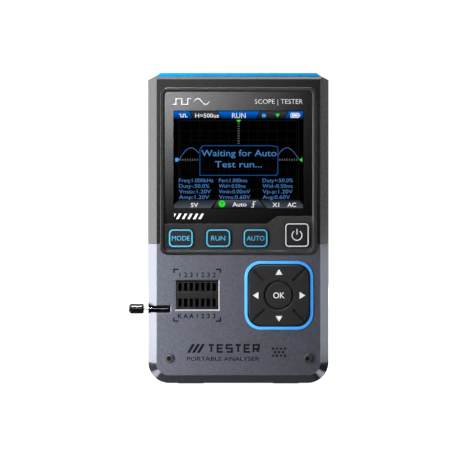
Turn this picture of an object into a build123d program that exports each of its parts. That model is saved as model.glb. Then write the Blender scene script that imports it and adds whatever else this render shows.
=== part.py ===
from build123d import *
import math
import os

# Handheld component tester. Millimetres. +X to the right of the front face, +Z to the top end,
# and the front face looks along -Y. Heights here are measured from the case's flat bottom end.
# The foot pads stand lower, so save() lifts every node by their height, which puts the origin on
# the plane that the pads stand on, midway across the width and at the middle of the thickness.

# Cutting shapes run past what they cut by OVER. REACH spans the whole case.
OVER = 1.0
REACH = 200.0

# Case
CASE_W = 80.8
CASE_H = 136.9
CORNER_R = 9.4
WALL = 2.0
SKIN = 1.8
BEVEL = 4.0
INNER_BEVEL = 2.9
BACK_ROUND = 1.6
FACE_Y = -12.65
PART_Y = 0.0
BACK_Y = 13.75
INNER_FACE_Y = FACE_Y + SKIN
INNER_BACK_Y = BACK_Y - SKIN
SPLIT_Z = 62.4
SEAM = 0.1
SHOULDER_Z = 135.7
SHOULDER_X = 37.1
CAVITY_TOP_Z = CASE_H - SKIN
LIP_TOP_Z = 124.0
LIP_ROOT_IN = 0.2
LIP_GAP = 0.1
LIP_T = 0.8
LIP_ROOT_BACK_Y = 3.0
LIP_TONGUE_BACK_Y = 0.5
LIP_FRONT_Y = -1.2

# Bezel, window and display
BEZEL_X = 34.9
BEZEL_Z0 = 57.5
BEZEL_Z1 = 132.2
BEZEL_R = 3.5
BEZEL_RIM = 2.05
BEZEL_CREST_Y = -13.45
PANEL_Y = -12.95
BEZEL_BACK_Y = -11.65
BEZEL_EDGE_R = 0.8
BEZEL_GAP = 0.05
FIELD_R = 1.5
LENS_FLOOR_Y = -12.15
LENS_FRONT_Y = -13.0
MASK_FRONT_Y = -12.3
LENS_X = BEZEL_X - BEZEL_RIM
LENS_TOP_Z = BEZEL_Z1 - BEZEL_RIM
LENS_LOW_Z = 71.4
LENS_STEP_Z = 74.8
LENS_STEP_X0 = 12.55
LENS_STEP_X1 = 17.3
LENS_R = 1.5
LENS_GAP = 0.04
DISPLAY_Z = 99.9
DISPLAY_HALF_X = 28.75
DISPLAY_HALF_Z = 21.6
WINDOW_X = 32.6
WINDOW_Z0 = 59.4
WINDOW_Z1 = 129.0
WINDOW_R = 1.0
BEZEL_OPENING_W = 60.4
BEZEL_OPENING_H = 46.4
MASK_MARGIN = 0.25
GASKET_W = 63.2
GASKET_H = 48.4
GASKET_RIM = 1.6
GASKET_RIM_H = 1.4
GASKET_BACK_Y = -10.8
LCD_X = 34.0
LCD_Z0 = 75.2
LCD_Z1 = 124.6
LCD_FRONT_Y = -10.75
LCD_BACK_Y = -9.35
LIGHT_INSET = 0.5
LIGHT_BACK_Y = -7.75
LIGHT_R = 0.8
LCD_PAD_X = 28.0
LCD_PAD_W = 4.0
LCD_PAD_H = 36.0
RIBBON_X = 10.0
RIBBON_T = 0.2
RIBBON_FRONT_Y = -9.75
RIBBON_BACK_Y = -6.4
RIBBON_LOW_Z = 73.0
RIBBON_END_Z = 78.0
CONNECTOR_X = 11.0
CONNECTOR_Z0 = 74.5
CONNECTOR_Z1 = 79.0
CONNECTOR_FRONT_Y = -6.35

# Fascia keys
KEY_Z = 64.9
KEY_X = {"mode": -25.6, "run": -9.0, "auto": 7.6}
KEY_W = 11.2
KEY_H = 8.4
KEY_R = 2.3
POWER_X = 26.0
POWER_Z = 66.3
POWER_W = 11.05
POWER_R = 1.9
KEY_FRONT_Y = -13.6
KEY_GAP = 0.15
KEY_EDGE_R = 0.3
KEY_CAP_BACK_Y = -11.3
KEY_FLANGE = 0.5
KEY_FLANGE_BACK_Y = -10.75
KEY_FLANGE_FRONT_Y = -11.55
STEM_R = 1.5
STEM_FRONT_Y = -11.0

# Direction pad
PAD_X = 18.0
PAD_Z = 39.5
RING_OUT = 15.35
RING_IN = 14.0
RING_OUT_R = 7.3
RING_IN_R = 5.95
RING_EDGE_R = 0.3
RING_GAP = 0.03
RING_LEDGE = 0.1
RING_FRONT_Y = -13.0
RING_SEAT_Y = -11.65
ROCKER_HALF = 13.5
ROCKER_R = 5.9
ROCKER_FRONT_Y = -13.65
ROCKER_BACK_Y = -11.2
ROCKER_EDGE_R = 0.6
GROOVE_AT = 13.0
GROOVE_L = 8.0
GROOVE_W = 1.3
GROOVE_DEPTH = 0.5
SKIRT_HALF_IN = 12.3
SKIRT_IN_R = 4.7
SKIRT_BACK_Y = -9.1
TAB_REACH = 14.6
TAB_W = 8.0
TAB_FRONT_Y = -10.0
POST_AT = 10.6
POST_R = 1.2
POST_BACK_Y = -9.75
OK_R = 5.9
OK_EDGE_R = 0.35
OK_BACK_Y = -11.5
OK_BORE_R = 6.15
OK_LIP = 0.7
OK_FRONT_Y = -13.6
OK_FLANGE_R = 6.6
OK_FLANGE_BACK_Y = -11.2
OK_FLANGE_FRONT_Y = -11.9
COUNTERBORE_R = 6.85
COUNTERBORE_FRONT_Y = -12.35
PEDESTAL_TOP_Y = -9.0
GIMBAL_BACK_Y = -9.45
GIMBAL_FRONT_Y = -10.75
NUB_R = 0.35
NUB_RISE = 0.05
NUB_END = 0.1
COLLAR_IN_R = 6.95
COLLAR_OUT_R = 8.2

# Circuit board and switches
BOARD_FRONT_Y = -5.2
BOARD_BACK_Y = -3.6
BOARD_X = 36.0
BOARD_Z0 = 4.0
BOARD_Z1 = 131.5
BOARD_R = 4.0
CHIP_H = 1.2
# Chips and shield: centre x and z, width and height in front view
SMALL_CHIPS = (
    (-24, 96, 8, 10), (-8, 96, 5, 5), (22, 62, 6, 5),
    (-20, 22, 10, 6), (4, 24, 5, 4), (24, 84, 4, 4),
)
MAIN_CHIP = (-6.0, 58.0, 14.0, 14.0)
MAIN_CHIP_H = 1.4
SHIELD = (-20.0, 112.0, 26.0, 16.0)
SHIELD_H = 2.6
SWITCH_W = 4.5
SWITCH_R = 0.4
SWITCH_FRONT_Y = -8.2
PLUNGER_TIP_Y = -9.2
PLUNGER_R = 1.3
PLUNGER_END_Y = -7.6
SWITCH_WELL_Y = -6.8
SWITCH_FIT = 0.05

# Test socket and its lever
SOCKET_X = -18.4
SOCKET_Z = 39.5
SOCKET_W = 18.8
SOCKET_H = 12.6
SOCKET_PITCH = 2.54
SOCKET_COLUMNS = 7
ROW_Z = (36.1, 43.15)
SLOT_W = 1.6
SLOT_H = 3.65
SOCKET_LIP = 0.6
SOCKET_HALF_Z = 6.0
HOUSING_LOW = 0.8
HOUSING_HIGH = 0.2
SOCKET_LEFT_X = -35.0
SOCKET_MID_X = -28.5
SOCKET_RIGHT_X = -8.8
SOCKET_BASE_Y = -9.05
SLIDER_BACK_Y = -9.1
SLIDER_FRONT_Y = -10.2
SOCKET_INNER_Y = -10.35
SOCKET_TOP_Y = -10.8
SOCKET_BOSS_Y = -12.0
BOSS_GAP = 0.3
SKIRT_T = 0.5
BAR_X0 = -27.0
BAR_X1 = -11.0
BAR_Z0 = 38.2
BAR_Z1 = 40.9
BAR_RISE = 0.25
BAR_BEVEL = 0.15
WELL_W = 0.7
WELL_H = 2.4
CONTACT_T = 0.25
CONTACT_H = 2.0
CONTACT_TIP_Y = -9.0
SHAFT_HALF = 0.5
SHAFT_BACK_Y = -8.15
CAM_ROOM_HALF = 1.8
CAM_ROOM_BACK_Y = -7.7
SLIDER_X0 = -33.6
SLIDER_X1 = -10.4
SLIDER_FIELD_X0 = -27.6
SLIDER_Z0 = 34.9
SLIDER_Z1 = 44.6
SLIDER_FIELD_Z0 = 34.15
SLIDER_FIELD_Z1 = 44.85
SLIDER_HOLE_W = 1.7
SLIDER_HOLE_H = 3.0
SLIDER_HOLE_SHIFT = -0.4
CAM_PLAY = 0.06
PIVOT_X = -31.3
PIVOT_Y = -8.6
WIRE_R = 0.4
CAM_R = 1.1
CAM_THROW = 0.566
CAM_ANGLE = 225.0
CAM_Z0 = 37.6
CAM_Z1 = 41.6
CAM_END_GAP = 0.1
SHAFT_ROOM_Z1 = 45.1
SHAFT_TOP_Z = 44.6
BEND_R = 0.9
ARM_END_X = -46.6
ARM_Z = 33.3
KNOB_X0 = -49.1
KNOB_X1 = -42.4
KNOB_R = 2.25
KNOB_END_R = 1.6
KNOB_MOUTH_R = 0.7
LEVER_SLOT_END_X = -30.35
LEVER_SLOT_HALF = 1.45
LEVER_SLOT_Y = -7.9
LEVER_SLOT_LIP = 0.45
LEVER_NOTCH = 3.0
LEVER_NOTCH_X1 = -30.0

# Screws
FRONT_SCREW_X = 30.75
FRONT_SCREW_Z = 11.4
REAR_SCREW_X = 31.5
REAR_SCREW_Z = 129.4
SHANK_R = 1.2
PILOT_R = 1.22
CLEAR_R = 1.4
BOSS_R = 3.0
UPPER_BOSS_R = 2.6
REAR_BOSS_R = 3.4
PILOT_DEPTH = 6.0
HEAD_R = 2.0
HEAD_H = 0.95
HEAD_EDGE_R = 0.6
HEX_R = 1.15
HEX_FLOOR = 0.3
SHANK_END_Y = 4.0
HEAD_SINK = 3.0
REAR_HEAD_H = 1.6
REAR_HEX_DEPTH = 1.0
REAR_SHANK_END_Y = -8.0
COUNTERSINK_R = 2.4
PILLAR_X = 33.0
PILLAR_Z = (27.0, 101.0)
PILLAR_R = 1.8
ROOT_IN = 0.2

# Top end
CAP_TOP_Z = 138.8
CAP_FRONT_Y = -11.2
CAP_BACK_Y = 11.6
CAP_SIDE_RUN = 2.2
CAP_NOSE_RUN = 1.4
CAP_NOSE_LIP = 0.5
PLUG_X = 32.0
PLUG_Y = 6.0
PLUG_GAP = 0.1
RIM_X = 32.6
RIM_Y = 6.6
RIM_H = 0.8
JACK_X = 20.0
JACK_OUT_R = 3.0
JACK_GAP = 0.05
JACK_SINK = 0.05
JACK_BORE_R = 1.8
JACK_DEPTH = 3.0
JACK_BASE_Z = 128.0
INSULATOR_R = 1.5
CONTACT_R = 0.5
CONTACT_BORE_R = 0.25
CONTACT_BORE_DEPTH = 2.0
PORT_W = 9.0
PORT_H = 3.3
PORT_SIDE_FLAT = 0.05
PORT_GAP = 0.05
PORT_Z0 = 130.6
PORT_Z1 = 138.6
PORT_FLOOR = 0.8
PORT_WALL = 0.3
TONGUE_X = 3.3
TONGUE_Y = 0.35
TONGUE_Z1 = 137.6

# Battery
CELL_W = 34.0
CELL_L = 50.0
CELL_Z0 = 36.0
CELL_FRONT_Y = 2.0
CELL_BACK_Y = 10.0
CELL_R = 2.0
TAPE_W = 28.0
TAPE_H = 40.0
LEAD_R = 0.55
LEAD_Y = -1.9
LEAD_BEND_R = 2.4
LEAD_TAB_Y = 6.0
LEAD_SPREAD = 1.0
LEAD_CLIMB = (7.0, 12.0, 17.0)
PLUG_CENTRE_X = 8.0
PLUG_HALF_X = 2.6
PLUG_FRONT_Y = -3.2
PLUG_BACK_Y = -0.6
PLUG_L = 5.0
SOCKET_HALF_X = 3.6
SOCKET_BACK_Y = 0.2
SOCKET_RISE = 1.0
SOCKET_L = 8.0
PLUG_FIT = 0.05

# Sounder, feet, label
GRILLE_X = 18.1
GRILLE_Z = 14.2
GRILLE_PITCH = 1.77
GRILLE_ROW = 1.59
GRILLE_HOLE_R = 0.53
SOUNDER_R = 6.0
SOUNDER_FRONT_Y = -10.4
SOUNDER_HOLE_R = 1.0
SOUNDER_HOLE_Y = -9.2
FOOT_X = 21.4
FOOT_W = 11.6
FOOT_Y0 = -7.0
FOOT_Y1 = 9.0
FOOT_H = 0.4
LABEL_W = 46.0
LABEL_H = 30.0
LABEL_Z = 96.0
LABEL_DEPTH = 0.3
LABEL_R = 1.85
LABEL_GAP = 0.15

SIDES = (-1, 1)


def rect(x0, x1, z0, z1, r=0.0):
    """Front-view rectangle between the given limits, with corner radius r."""
    if r > 0:
        shape = RectangleRounded(x1 - x0, z1 - z0, r)
    else:
        shape = Rectangle(x1 - x0, z1 - z0)
    return Pos((x0 + x1) / 2, (z0 + z1) / 2) * shape


def centred(x, z, w, h, r=0.0):
    """Front-view rectangle about a centre."""
    return rect(x - w / 2, x + w / 2, z - h / 2, z + h / 2, r)


def slab(sketch, back, front):
    """Prism of a front-view sketch, from depth y=back forward to y=front."""
    return extrude(Plane.XZ.offset(-back) * sketch, amount=back - front)


def flare(sketch, back, front):
    """Prism that widens by 45 degrees as it comes forward from y=back to y=front."""
    return extrude(Plane.XZ.offset(-back) * sketch, amount=back - front, taper=-45)


def tower(sketch, z0, z1):
    """Prism of a plan-view sketch, from height z0 to z1."""
    return extrude(Plane.XY.offset(z0) * sketch, amount=z1 - z0)


def box(x0, x1, y0, y1, z0, z1):
    """Box between the given limits."""
    centre = Pos((x0 + x1) / 2, (y0 + y1) / 2, (z0 + z1) / 2)
    return centre * Box(x1 - x0, y1 - y0, z1 - z0)


def band(z0, z1):
    """Everything between two heights."""
    return box(-REACH, REACH, -REACH, REACH, z0, z1)


def rod_y(x, z, r, back, front):
    """Round bar along Y."""
    return slab(Pos(x, z) * Circle(r), back, front)


def rod_z(x, y, r, z0, z1):
    """Round bar along Z."""
    return Pos(x, y, (z0 + z1) / 2) * Cylinder(r, z1 - z0)


def rod_x(y, z, r, x0, x1):
    """Round bar along X."""
    return Pos((x0 + x1) / 2, y, z) * Rot(0, 90, 0) * Cylinder(r, x1 - x0)


def front_edges(shape):
    """Edges of the foremost face."""
    return shape.faces().sort_by(Axis.Y)[0].edges()


def capped_slab(sketch, back, front, bevel):
    """Prism of a front-view sketch with a chamfer round its front face."""
    shape = slab(sketch, back, front)
    return chamfer(front_edges(shape), bevel)


def bent_wire(points, bend, r):
    """Round wire along a path of straight runs with round bends."""
    path = FilletPolyline(*points, radius=bend)
    return sweep(Plane(path @ 0, z_dir=path % 0) * Circle(r), path=path)


def save(name, *solids):
    """Writes one node, made of one solid or of a group of separate solids."""
    lifted = [Pos(0, 0, FOOT_H) * solid for solid in solids]
    shape = lifted[0] if len(lifted) == 1 else Compound(children=[Compound([s]) for s in lifted])
    export_step(shape, os.path.join("parts", name + ".step"))


# Case ------------------------------------------------------------------------------------------


def outline(inset=0.0):
    """Front view of the case moved in by inset: round bottom corners, sides run past the top."""
    half = CASE_W / 2 - inset
    return rect(-half, half, inset, CASE_H + REACH, CORNER_R - inset)


def crown():
    """Envelope that gives the top end its sloped shoulders, all the way round."""
    drop = CASE_H - SHOULDER_Z
    side_x = CASE_W / 2 + OVER
    side_z = SHOULDER_Z - drop / (CASE_W / 2 - SHOULDER_X) * OVER
    front_view = Polygon(
        (-side_x, -OVER), (side_x, -OVER), (side_x, side_z), (SHOULDER_X, CASE_H),
        (-SHOULDER_X, CASE_H), (-side_x, side_z), align=None,
    )
    side_view = Polygon(
        (FACE_Y - OVER, -OVER), (BACK_Y + OVER, -OVER), (BACK_Y + OVER, SHOULDER_Z - OVER),
        (BACK_Y - drop, CASE_H), (FACE_Y + drop, CASE_H), (FACE_Y - OVER, SHOULDER_Z - OVER),
        align=None,
    )
    across = extrude(Plane.YZ * side_view, amount=CASE_W, both=True)
    return slab(front_view, BACK_Y + OVER, FACE_Y - OVER) & across


def cavity(bevelled, back, front):
    """Space inside the case, closed at the top by the end wall."""
    shape = slab(outline(WALL), back, front)
    if bevelled:
        shape = chamfer(front_edges(shape), INNER_BEVEL)
    return shape & band(-OVER, CAVITY_TOP_Z)


def end_opening():
    """Opening in the top end wall that the end cap's plug fits."""
    return box(-PLUG_X, PLUG_X, -PLUG_Y, PLUG_Y, CAVITY_TOP_Z - OVER, CASE_H + OVER)


def bezel_pocket():
    """Recess for the bezel plate, and the opening inside its ledge."""
    x = BEZEL_X + BEZEL_GAP
    outer = rect(-x, x, BEZEL_Z0 - BEZEL_GAP, BEZEL_Z1 + BEZEL_GAP, BEZEL_R)
    window = rect(-WINDOW_X, WINDOW_X, WINDOW_Z0, WINDOW_Z1, WINDOW_R)
    return slab(outer, BEZEL_BACK_Y, FACE_Y - OVER) + slab(window, INNER_FACE_Y + OVER, FACE_Y - OVER)


def front_half():
    """Both front covers as one shell, before the split between black and grey."""
    outer = capped_slab(outline(), PART_Y, FACE_Y, BEVEL) & crown()
    return outer - cavity(True, PART_Y, INNER_FACE_Y) - end_opening() - bezel_pocket()


def upper_cover():
    """Black upper cover with two screw bosses near the top end."""
    shape = front_half() & band(SPLIT_Z + SEAM / 2, CASE_H + OVER)
    for side in SIDES:
        x = side * REAR_SCREW_X
        shape += rod_y(x, REAR_SCREW_Z, UPPER_BOSS_R, PART_Y - SEAM, INNER_FACE_Y - ROOT_IN)
        shape -= rod_y(x, REAR_SCREW_Z, PILOT_R, PART_Y + OVER, INNER_FACE_Y + 2 * ROOT_IN)
    return shape


def grille_centres():
    """Centres of the sounder grille's holes, in rows of four, three and four."""
    centres = []
    for row, count in ((1, 4), (0, 3), (-1, 4)):
        for i in range(count):
            x = GRILLE_X + (i - (count - 1) / 2) * GRILLE_PITCH
            centres.append((x, GRILLE_Z + row * GRILLE_ROW))
    return centres


def lever_slot():
    """Slot that the socket lever lies in, open at the left side, with sloped lips."""
    shape = rect(-CASE_W, LEVER_SLOT_END_X, ARM_Z - LEVER_SLOT_HALF, ARM_Z + LEVER_SLOT_HALF)
    return slab(shape, LEVER_SLOT_Y, FACE_Y - OVER) + flare(shape, FACE_Y + LEVER_SLOT_LIP, FACE_Y)


def socket_window():
    """Window over the test socket, with sloped lips."""
    opening = centred(SOCKET_X, SOCKET_Z, SOCKET_W, SOCKET_H)
    return slab(opening, INNER_FACE_Y + OVER, FACE_Y - OVER) + flare(opening, FACE_Y + SOCKET_LIP, FACE_Y)


def pad_square(half, r):
    """Front view of a rounded square round the direction pad's centre."""
    return centred(PAD_X, PAD_Z, 2 * half, 2 * half, r)


def pad_opening():
    """Opening for the rocker pad and the step that its ring sits on."""
    hole = pad_square(RING_IN - RING_LEDGE, RING_IN_R - RING_LEDGE)
    seat = pad_square(RING_OUT + RING_GAP, RING_OUT_R)
    return slab(hole, INNER_FACE_Y + OVER, FACE_Y - OVER) + slab(seat, RING_SEAT_Y, FACE_Y - OVER)


def lower_cover():
    """Grey lower cover."""
    shape = front_half() & band(-OVER, SPLIT_Z - SEAM / 2)
    shape = shape - socket_window() - lever_slot() - pad_opening()
    for x, z in grille_centres():
        shape -= rod_y(x, z, GRILLE_HOLE_R, INNER_FACE_Y + OVER, FACE_Y - OVER)
    for side in SIDES:
        x = side * FRONT_SCREW_X
        shape -= rod_y(x, FRONT_SCREW_Z, CLEAR_R, INNER_FACE_Y + OVER, FACE_Y - OVER)
    return shape


def rear_lip():
    """Lip that stands inside the front covers' walls at the parting line."""
    inside = outline(WALL + LIP_GAP + LIP_T)
    root = slab(outline(WALL - LIP_ROOT_IN) - inside, LIP_ROOT_BACK_Y, PART_Y)
    tongue = slab(outline(WALL + LIP_GAP) - inside, LIP_TONGUE_BACK_Y, LIP_FRONT_Y)
    notch = box(-CASE_W, LEVER_NOTCH_X1, -REACH, PART_Y, ARM_Z - LEVER_NOTCH, ARM_Z + LEVER_NOTCH)
    return ((root + tongue) & band(-OVER, LIP_TOP_Z)) - notch


def rear_cover():
    """Rear cover with its lip, screw bosses, board pillars and label recess."""
    outer = slab(outline(), BACK_Y, PART_Y) & crown()
    rim = outer.faces().sort_by(Axis.Y)[-1].edges()
    outer = fillet([e for e in rim if e.center().Z < SHOULDER_Z - OVER], BACK_ROUND)
    shape = outer - cavity(False, INNER_BACK_Y, PART_Y - OVER) - end_opening()
    shape += rear_lip()
    root_y = INNER_BACK_Y + ROOT_IN
    for side in SIDES:
        low_x = side * FRONT_SCREW_X
        shape += rod_y(low_x, FRONT_SCREW_Z, BOSS_R, root_y, INNER_FACE_Y + SEAM / 2)
        shape -= rod_y(low_x, FRONT_SCREW_Z, PILOT_R, INNER_BACK_Y - PILOT_DEPTH, INNER_FACE_Y - OVER)
        high_x = side * REAR_SCREW_X
        shape += rod_y(high_x, REAR_SCREW_Z, REAR_BOSS_R, root_y, PART_Y)
        shape -= rod_y(high_x, REAR_SCREW_Z, CLEAR_R, BACK_Y + OVER, PART_Y - OVER)
        shape -= rod_y(high_x, REAR_SCREW_Z, COUNTERSINK_R, BACK_Y + OVER, BACK_Y - HEAD_SINK)
        for z in PILLAR_Z:
            shape += rod_y(side * PILLAR_X, z, PILLAR_R, root_y, BOARD_BACK_Y)
    recess = centred(0, LABEL_Z, LABEL_W + 2 * LABEL_GAP, LABEL_H + 2 * LABEL_GAP, LABEL_R + LABEL_GAP)
    return shape - slab(recess, BACK_Y + OVER, BACK_Y - LABEL_DEPTH)


# Bezel and display -----------------------------------------------------------------------------


def lens_outline(grow=0.0):
    """Window outline: square top corners slightly round, and a slanted step at the lower right."""
    x = LENS_X + grow
    low = LENS_LOW_Z - grow
    step = LENS_STEP_Z - grow
    shape = Polygon(
        (-x, low), (LENS_STEP_X0, low), (LENS_STEP_X1, step), (x, step),
        (x, LENS_TOP_Z + grow), (-x, LENS_TOP_Z + grow), align=None,
    )
    return fillet(shape.vertices().group_by(Axis.Y)[-1], LENS_R)


def lens():
    """Clear window."""
    return slab(lens_outline(), MASK_FRONT_Y, LENS_FRONT_Y)


def key_shape(x, z, w, h, r, grow=0.0):
    """Front view of a fascia key, grown all round."""
    return centred(x, z, w + 2 * grow, h + 2 * grow, r + grow)


def fascia_keys():
    """Name, centre, size and corner radius of the four fascia keys."""
    keys = [(name, x, KEY_Z, KEY_W, KEY_H, KEY_R) for name, x in KEY_X.items()]
    keys.append(("power", POWER_X, POWER_Z, POWER_W, POWER_W, POWER_R))
    return keys


def bezel():
    """Raised plate with a rounded rim, the window's pocket and the holes of the keys."""
    shape = slab(rect(-BEZEL_X, BEZEL_X, BEZEL_Z0, BEZEL_Z1, BEZEL_R), BEZEL_BACK_Y, BEZEL_CREST_Y)
    shape = fillet(front_edges(shape), BEZEL_EDGE_R)
    field = rect(-LENS_X, LENS_X, BEZEL_Z0 + BEZEL_RIM, LENS_TOP_Z, FIELD_R)
    opening = centred(0, DISPLAY_Z, BEZEL_OPENING_W, BEZEL_OPENING_H)
    shape -= flare(field, PANEL_Y, BEZEL_CREST_Y)
    shape -= slab(lens_outline(LENS_GAP), LENS_FLOOR_Y, BEZEL_CREST_Y - OVER)
    shape -= slab(opening, BEZEL_BACK_Y + OVER, BEZEL_CREST_Y - OVER)
    for _, x, z, w, h, r in fascia_keys():
        shape -= slab(key_shape(x, z, w, h, r, KEY_GAP), BEZEL_BACK_Y + OVER, BEZEL_CREST_Y - OVER)
    return shape


def lens_mask():
    """Black frame behind the window."""
    w = 2 * (DISPLAY_HALF_X + MASK_MARGIN)
    h = 2 * (DISPLAY_HALF_Z + MASK_MARGIN)
    return slab(lens_outline() - centred(0, DISPLAY_Z, w, h), LENS_FLOOR_Y, MASK_FRONT_Y)


def display_gasket():
    """Foam frame between the bezel and the display."""
    inner = centred(0, DISPLAY_Z, GASKET_W - 2 * GASKET_RIM, GASKET_H - 2 * GASKET_RIM_H)
    return slab(centred(0, DISPLAY_Z, GASKET_W, GASKET_H) - inner, GASKET_BACK_Y, BEZEL_BACK_Y)


def lcd_panel():
    """Display glass."""
    return slab(rect(-LCD_X, LCD_X, LCD_Z0, LCD_Z1), LCD_BACK_Y, LCD_FRONT_Y)


def lcd_backlight():
    """Backlight tray behind the display glass."""
    x = LCD_X - LIGHT_INSET
    outer = rect(-x, x, LCD_Z0 + LIGHT_INSET, LCD_Z1 - LIGHT_INSET, LIGHT_R)
    return slab(outer, LIGHT_BACK_Y, LCD_BACK_Y)


def display_foam():
    """Two foam pads between the backlight and the board."""
    pad = centred(0, DISPLAY_Z, LCD_PAD_W, LCD_PAD_H)
    return [slab(Pos(side * LCD_PAD_X, 0) * pad, BOARD_FRONT_Y, LIGHT_BACK_Y) for side in SIDES]


def lcd_ribbon():
    """Flat flexible cable, folded from the glass's lower edge round to the board."""
    z = RIBBON_LOW_Z
    t = RIBBON_T
    x = RIBBON_X
    front_leg = box(-x, x, RIBBON_FRONT_Y, RIBBON_FRONT_Y + t, z, LCD_Z0)
    fold = box(-x, x, RIBBON_FRONT_Y, RIBBON_BACK_Y, z, z + t)
    back_leg = box(-x, x, RIBBON_BACK_Y - t, RIBBON_BACK_Y, z, RIBBON_END_Z)
    return front_leg + fold + back_leg


def lcd_connector():
    """Board connector that takes the ribbon's end."""
    return box(-CONNECTOR_X, CONNECTOR_X, CONNECTOR_FRONT_Y, BOARD_FRONT_Y, CONNECTOR_Z0, CONNECTOR_Z1)


# Keys ------------------------------------------------------------------------------------------


def fascia_key(x, z, w, h, r):
    """Key cap with a soft front edge, a flange behind the bezel and a stem to its switch."""
    cap = slab(key_shape(x, z, w, h, r), KEY_CAP_BACK_Y, KEY_FRONT_Y)
    cap = fillet(front_edges(cap), KEY_EDGE_R)
    flange = centred(x, z, w + 2 * KEY_FLANGE, h + 2 * KEY_FLANGE, r)
    stem = rod_y(x, z, STEM_R, PLUNGER_TIP_Y, STEM_FRONT_Y)
    return cap + slab(flange, KEY_FLANGE_BACK_Y, KEY_FLANGE_FRONT_Y) + stem


def plunger(x, z):
    """Moving button of a tact switch."""
    return rod_y(x, z, PLUNGER_R, PLUNGER_END_Y, PLUNGER_TIP_Y)


def rocker_posts():
    """Centres of the four rocker posts: right, left, up and down."""
    return [(PAD_X + a * POST_AT, PAD_Z + b * POST_AT) for a, b in ((1, 0), (-1, 0), (0, 1), (0, -1))]


def switch_centres():
    """Centres of all nine tact switches."""
    keys = [(x, z) for _, x, z, _, _, _ in fascia_keys()]
    return keys + [(PAD_X, PAD_Z)] + rocker_posts()


def tact_switch(x, z):
    """Square switch body with a well for its button."""
    body = slab(centred(x, z, SWITCH_W, SWITCH_W, SWITCH_R), BOARD_FRONT_Y, SWITCH_FRONT_Y)
    return body - rod_y(x, z, PLUNGER_R + SWITCH_FIT, SWITCH_WELL_Y, SWITCH_FRONT_Y - OVER)


def dpad_ring():
    """Blue trim ring round the rocker pad."""
    shape = slab(pad_square(RING_OUT, RING_OUT_R), RING_SEAT_Y, RING_FRONT_Y)
    shape = fillet(front_edges(shape), RING_EDGE_R)
    return shape - slab(pad_square(RING_IN, RING_IN_R), RING_SEAT_Y + OVER, RING_FRONT_Y - OVER)


def rocker():
    """Four-way pad: rounded edge, diagonal grooves, skirt with four tabs, and a post per switch."""
    pad = slab(pad_square(ROCKER_HALF, ROCKER_R), ROCKER_BACK_Y, ROCKER_FRONT_Y)
    pad = fillet(front_edges(pad), ROCKER_EDGE_R)
    for turn in (45, 135, 225, 315):
        groove = Pos(PAD_X, PAD_Z) * Rot(0, 0, turn) * Pos(GROOVE_AT, 0) * Rectangle(GROOVE_L, GROOVE_W)
        pad -= slab(groove, ROCKER_FRONT_Y + GROOVE_DEPTH, ROCKER_FRONT_Y - OVER)
    skirt = pad_square(ROCKER_HALF, ROCKER_R) - pad_square(SKIRT_HALF_IN, SKIRT_IN_R)
    pad += slab(skirt, SKIRT_BACK_Y, ROCKER_BACK_Y - ROOT_IN)
    for w, h in ((2 * TAB_REACH, TAB_W), (TAB_W, 2 * TAB_REACH)):
        tab = centred(PAD_X, PAD_Z, w, h) - centred(PAD_X, PAD_Z, 2 * SKIRT_HALF_IN, 2 * SKIRT_HALF_IN)
        pad += slab(tab, SKIRT_BACK_Y, TAB_FRONT_Y)
    for x, z in rocker_posts():
        pad += rod_y(x, z, POST_R, POST_BACK_Y, ROCKER_BACK_Y - ROOT_IN)
    pad -= rod_y(PAD_X, PAD_Z, OK_BORE_R, ROCKER_BACK_Y + OVER, ROCKER_FRONT_Y - OVER)
    pad -= rod_y(PAD_X, PAD_Z, COUNTERBORE_R, ROCKER_BACK_Y + OVER, COUNTERBORE_FRONT_Y)
    return pad - flare(Pos(PAD_X, PAD_Z) * Circle(OK_BORE_R), ROCKER_FRONT_Y + OK_LIP, ROCKER_FRONT_Y)


def ok_key():
    """Round key with a soft front edge, a flange under the rocker and a stem."""
    cap = rod_y(PAD_X, PAD_Z, OK_R, OK_BACK_Y, OK_FRONT_Y)
    cap = fillet(front_edges(cap), OK_EDGE_R)
    flange = rod_y(PAD_X, PAD_Z, OK_FLANGE_R, OK_FLANGE_BACK_Y, OK_FLANGE_FRONT_Y)
    return cap + flange + rod_y(PAD_X, PAD_Z, STEM_R, PLUNGER_TIP_Y, OK_BACK_Y)


def collar(back, front):
    """Round ring about the direction pad's centre."""
    return slab(Pos(PAD_X, PAD_Z) * (Circle(COLLAR_OUT_R) - Circle(COLLAR_IN_R)), back, front)


def gimbal_ring():
    """Ring between the rocker and its pedestal, with two round nubs on each face, at right angles."""
    ring = collar(GIMBAL_BACK_Y, GIMBAL_FRONT_Y)
    near = COLLAR_IN_R + NUB_END
    far = COLLAR_OUT_R - NUB_END
    for side in SIDES:
        x0, x1 = sorted((PAD_X + side * near, PAD_X + side * far))
        ring += rod_x(GIMBAL_FRONT_Y - NUB_RISE, PAD_Z, NUB_R, x0, x1)
        z0, z1 = sorted((PAD_Z + side * near, PAD_Z + side * far))
        ring += rod_z(PAD_X, GIMBAL_BACK_Y + NUB_RISE, NUB_R, z0, z1)
    return ring


# Test socket -----------------------------------------------------------------------------------


def socket_columns():
    """X of the seven slot columns."""
    first = SOCKET_X - SOCKET_PITCH * (SOCKET_COLUMNS - 1) / 2
    return [first + i * SOCKET_PITCH for i in range(SOCKET_COLUMNS)]


def socket_outline(inset=0.0):
    """Front view of the socket: cam housing at the left, contact field at the right."""
    z0 = SOCKET_Z - SOCKET_HALF_Z + inset
    z1 = SOCKET_Z + SOCKET_HALF_Z - inset
    field = rect(SOCKET_MID_X + inset, SOCKET_RIGHT_X - inset, z0, z1)
    housing = rect(SOCKET_LEFT_X + inset, SOCKET_MID_X + 2 * inset, z0 + HOUSING_LOW, z1 - HOUSING_HIGH)
    return field + housing


def at_slots(shape, shift=0.0):
    """Copies of a front-view shape at all fourteen slot places, moved along X by shift."""
    return [Pos(x + shift, z) * shape for x in socket_columns() for z in ROW_Z]


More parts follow.
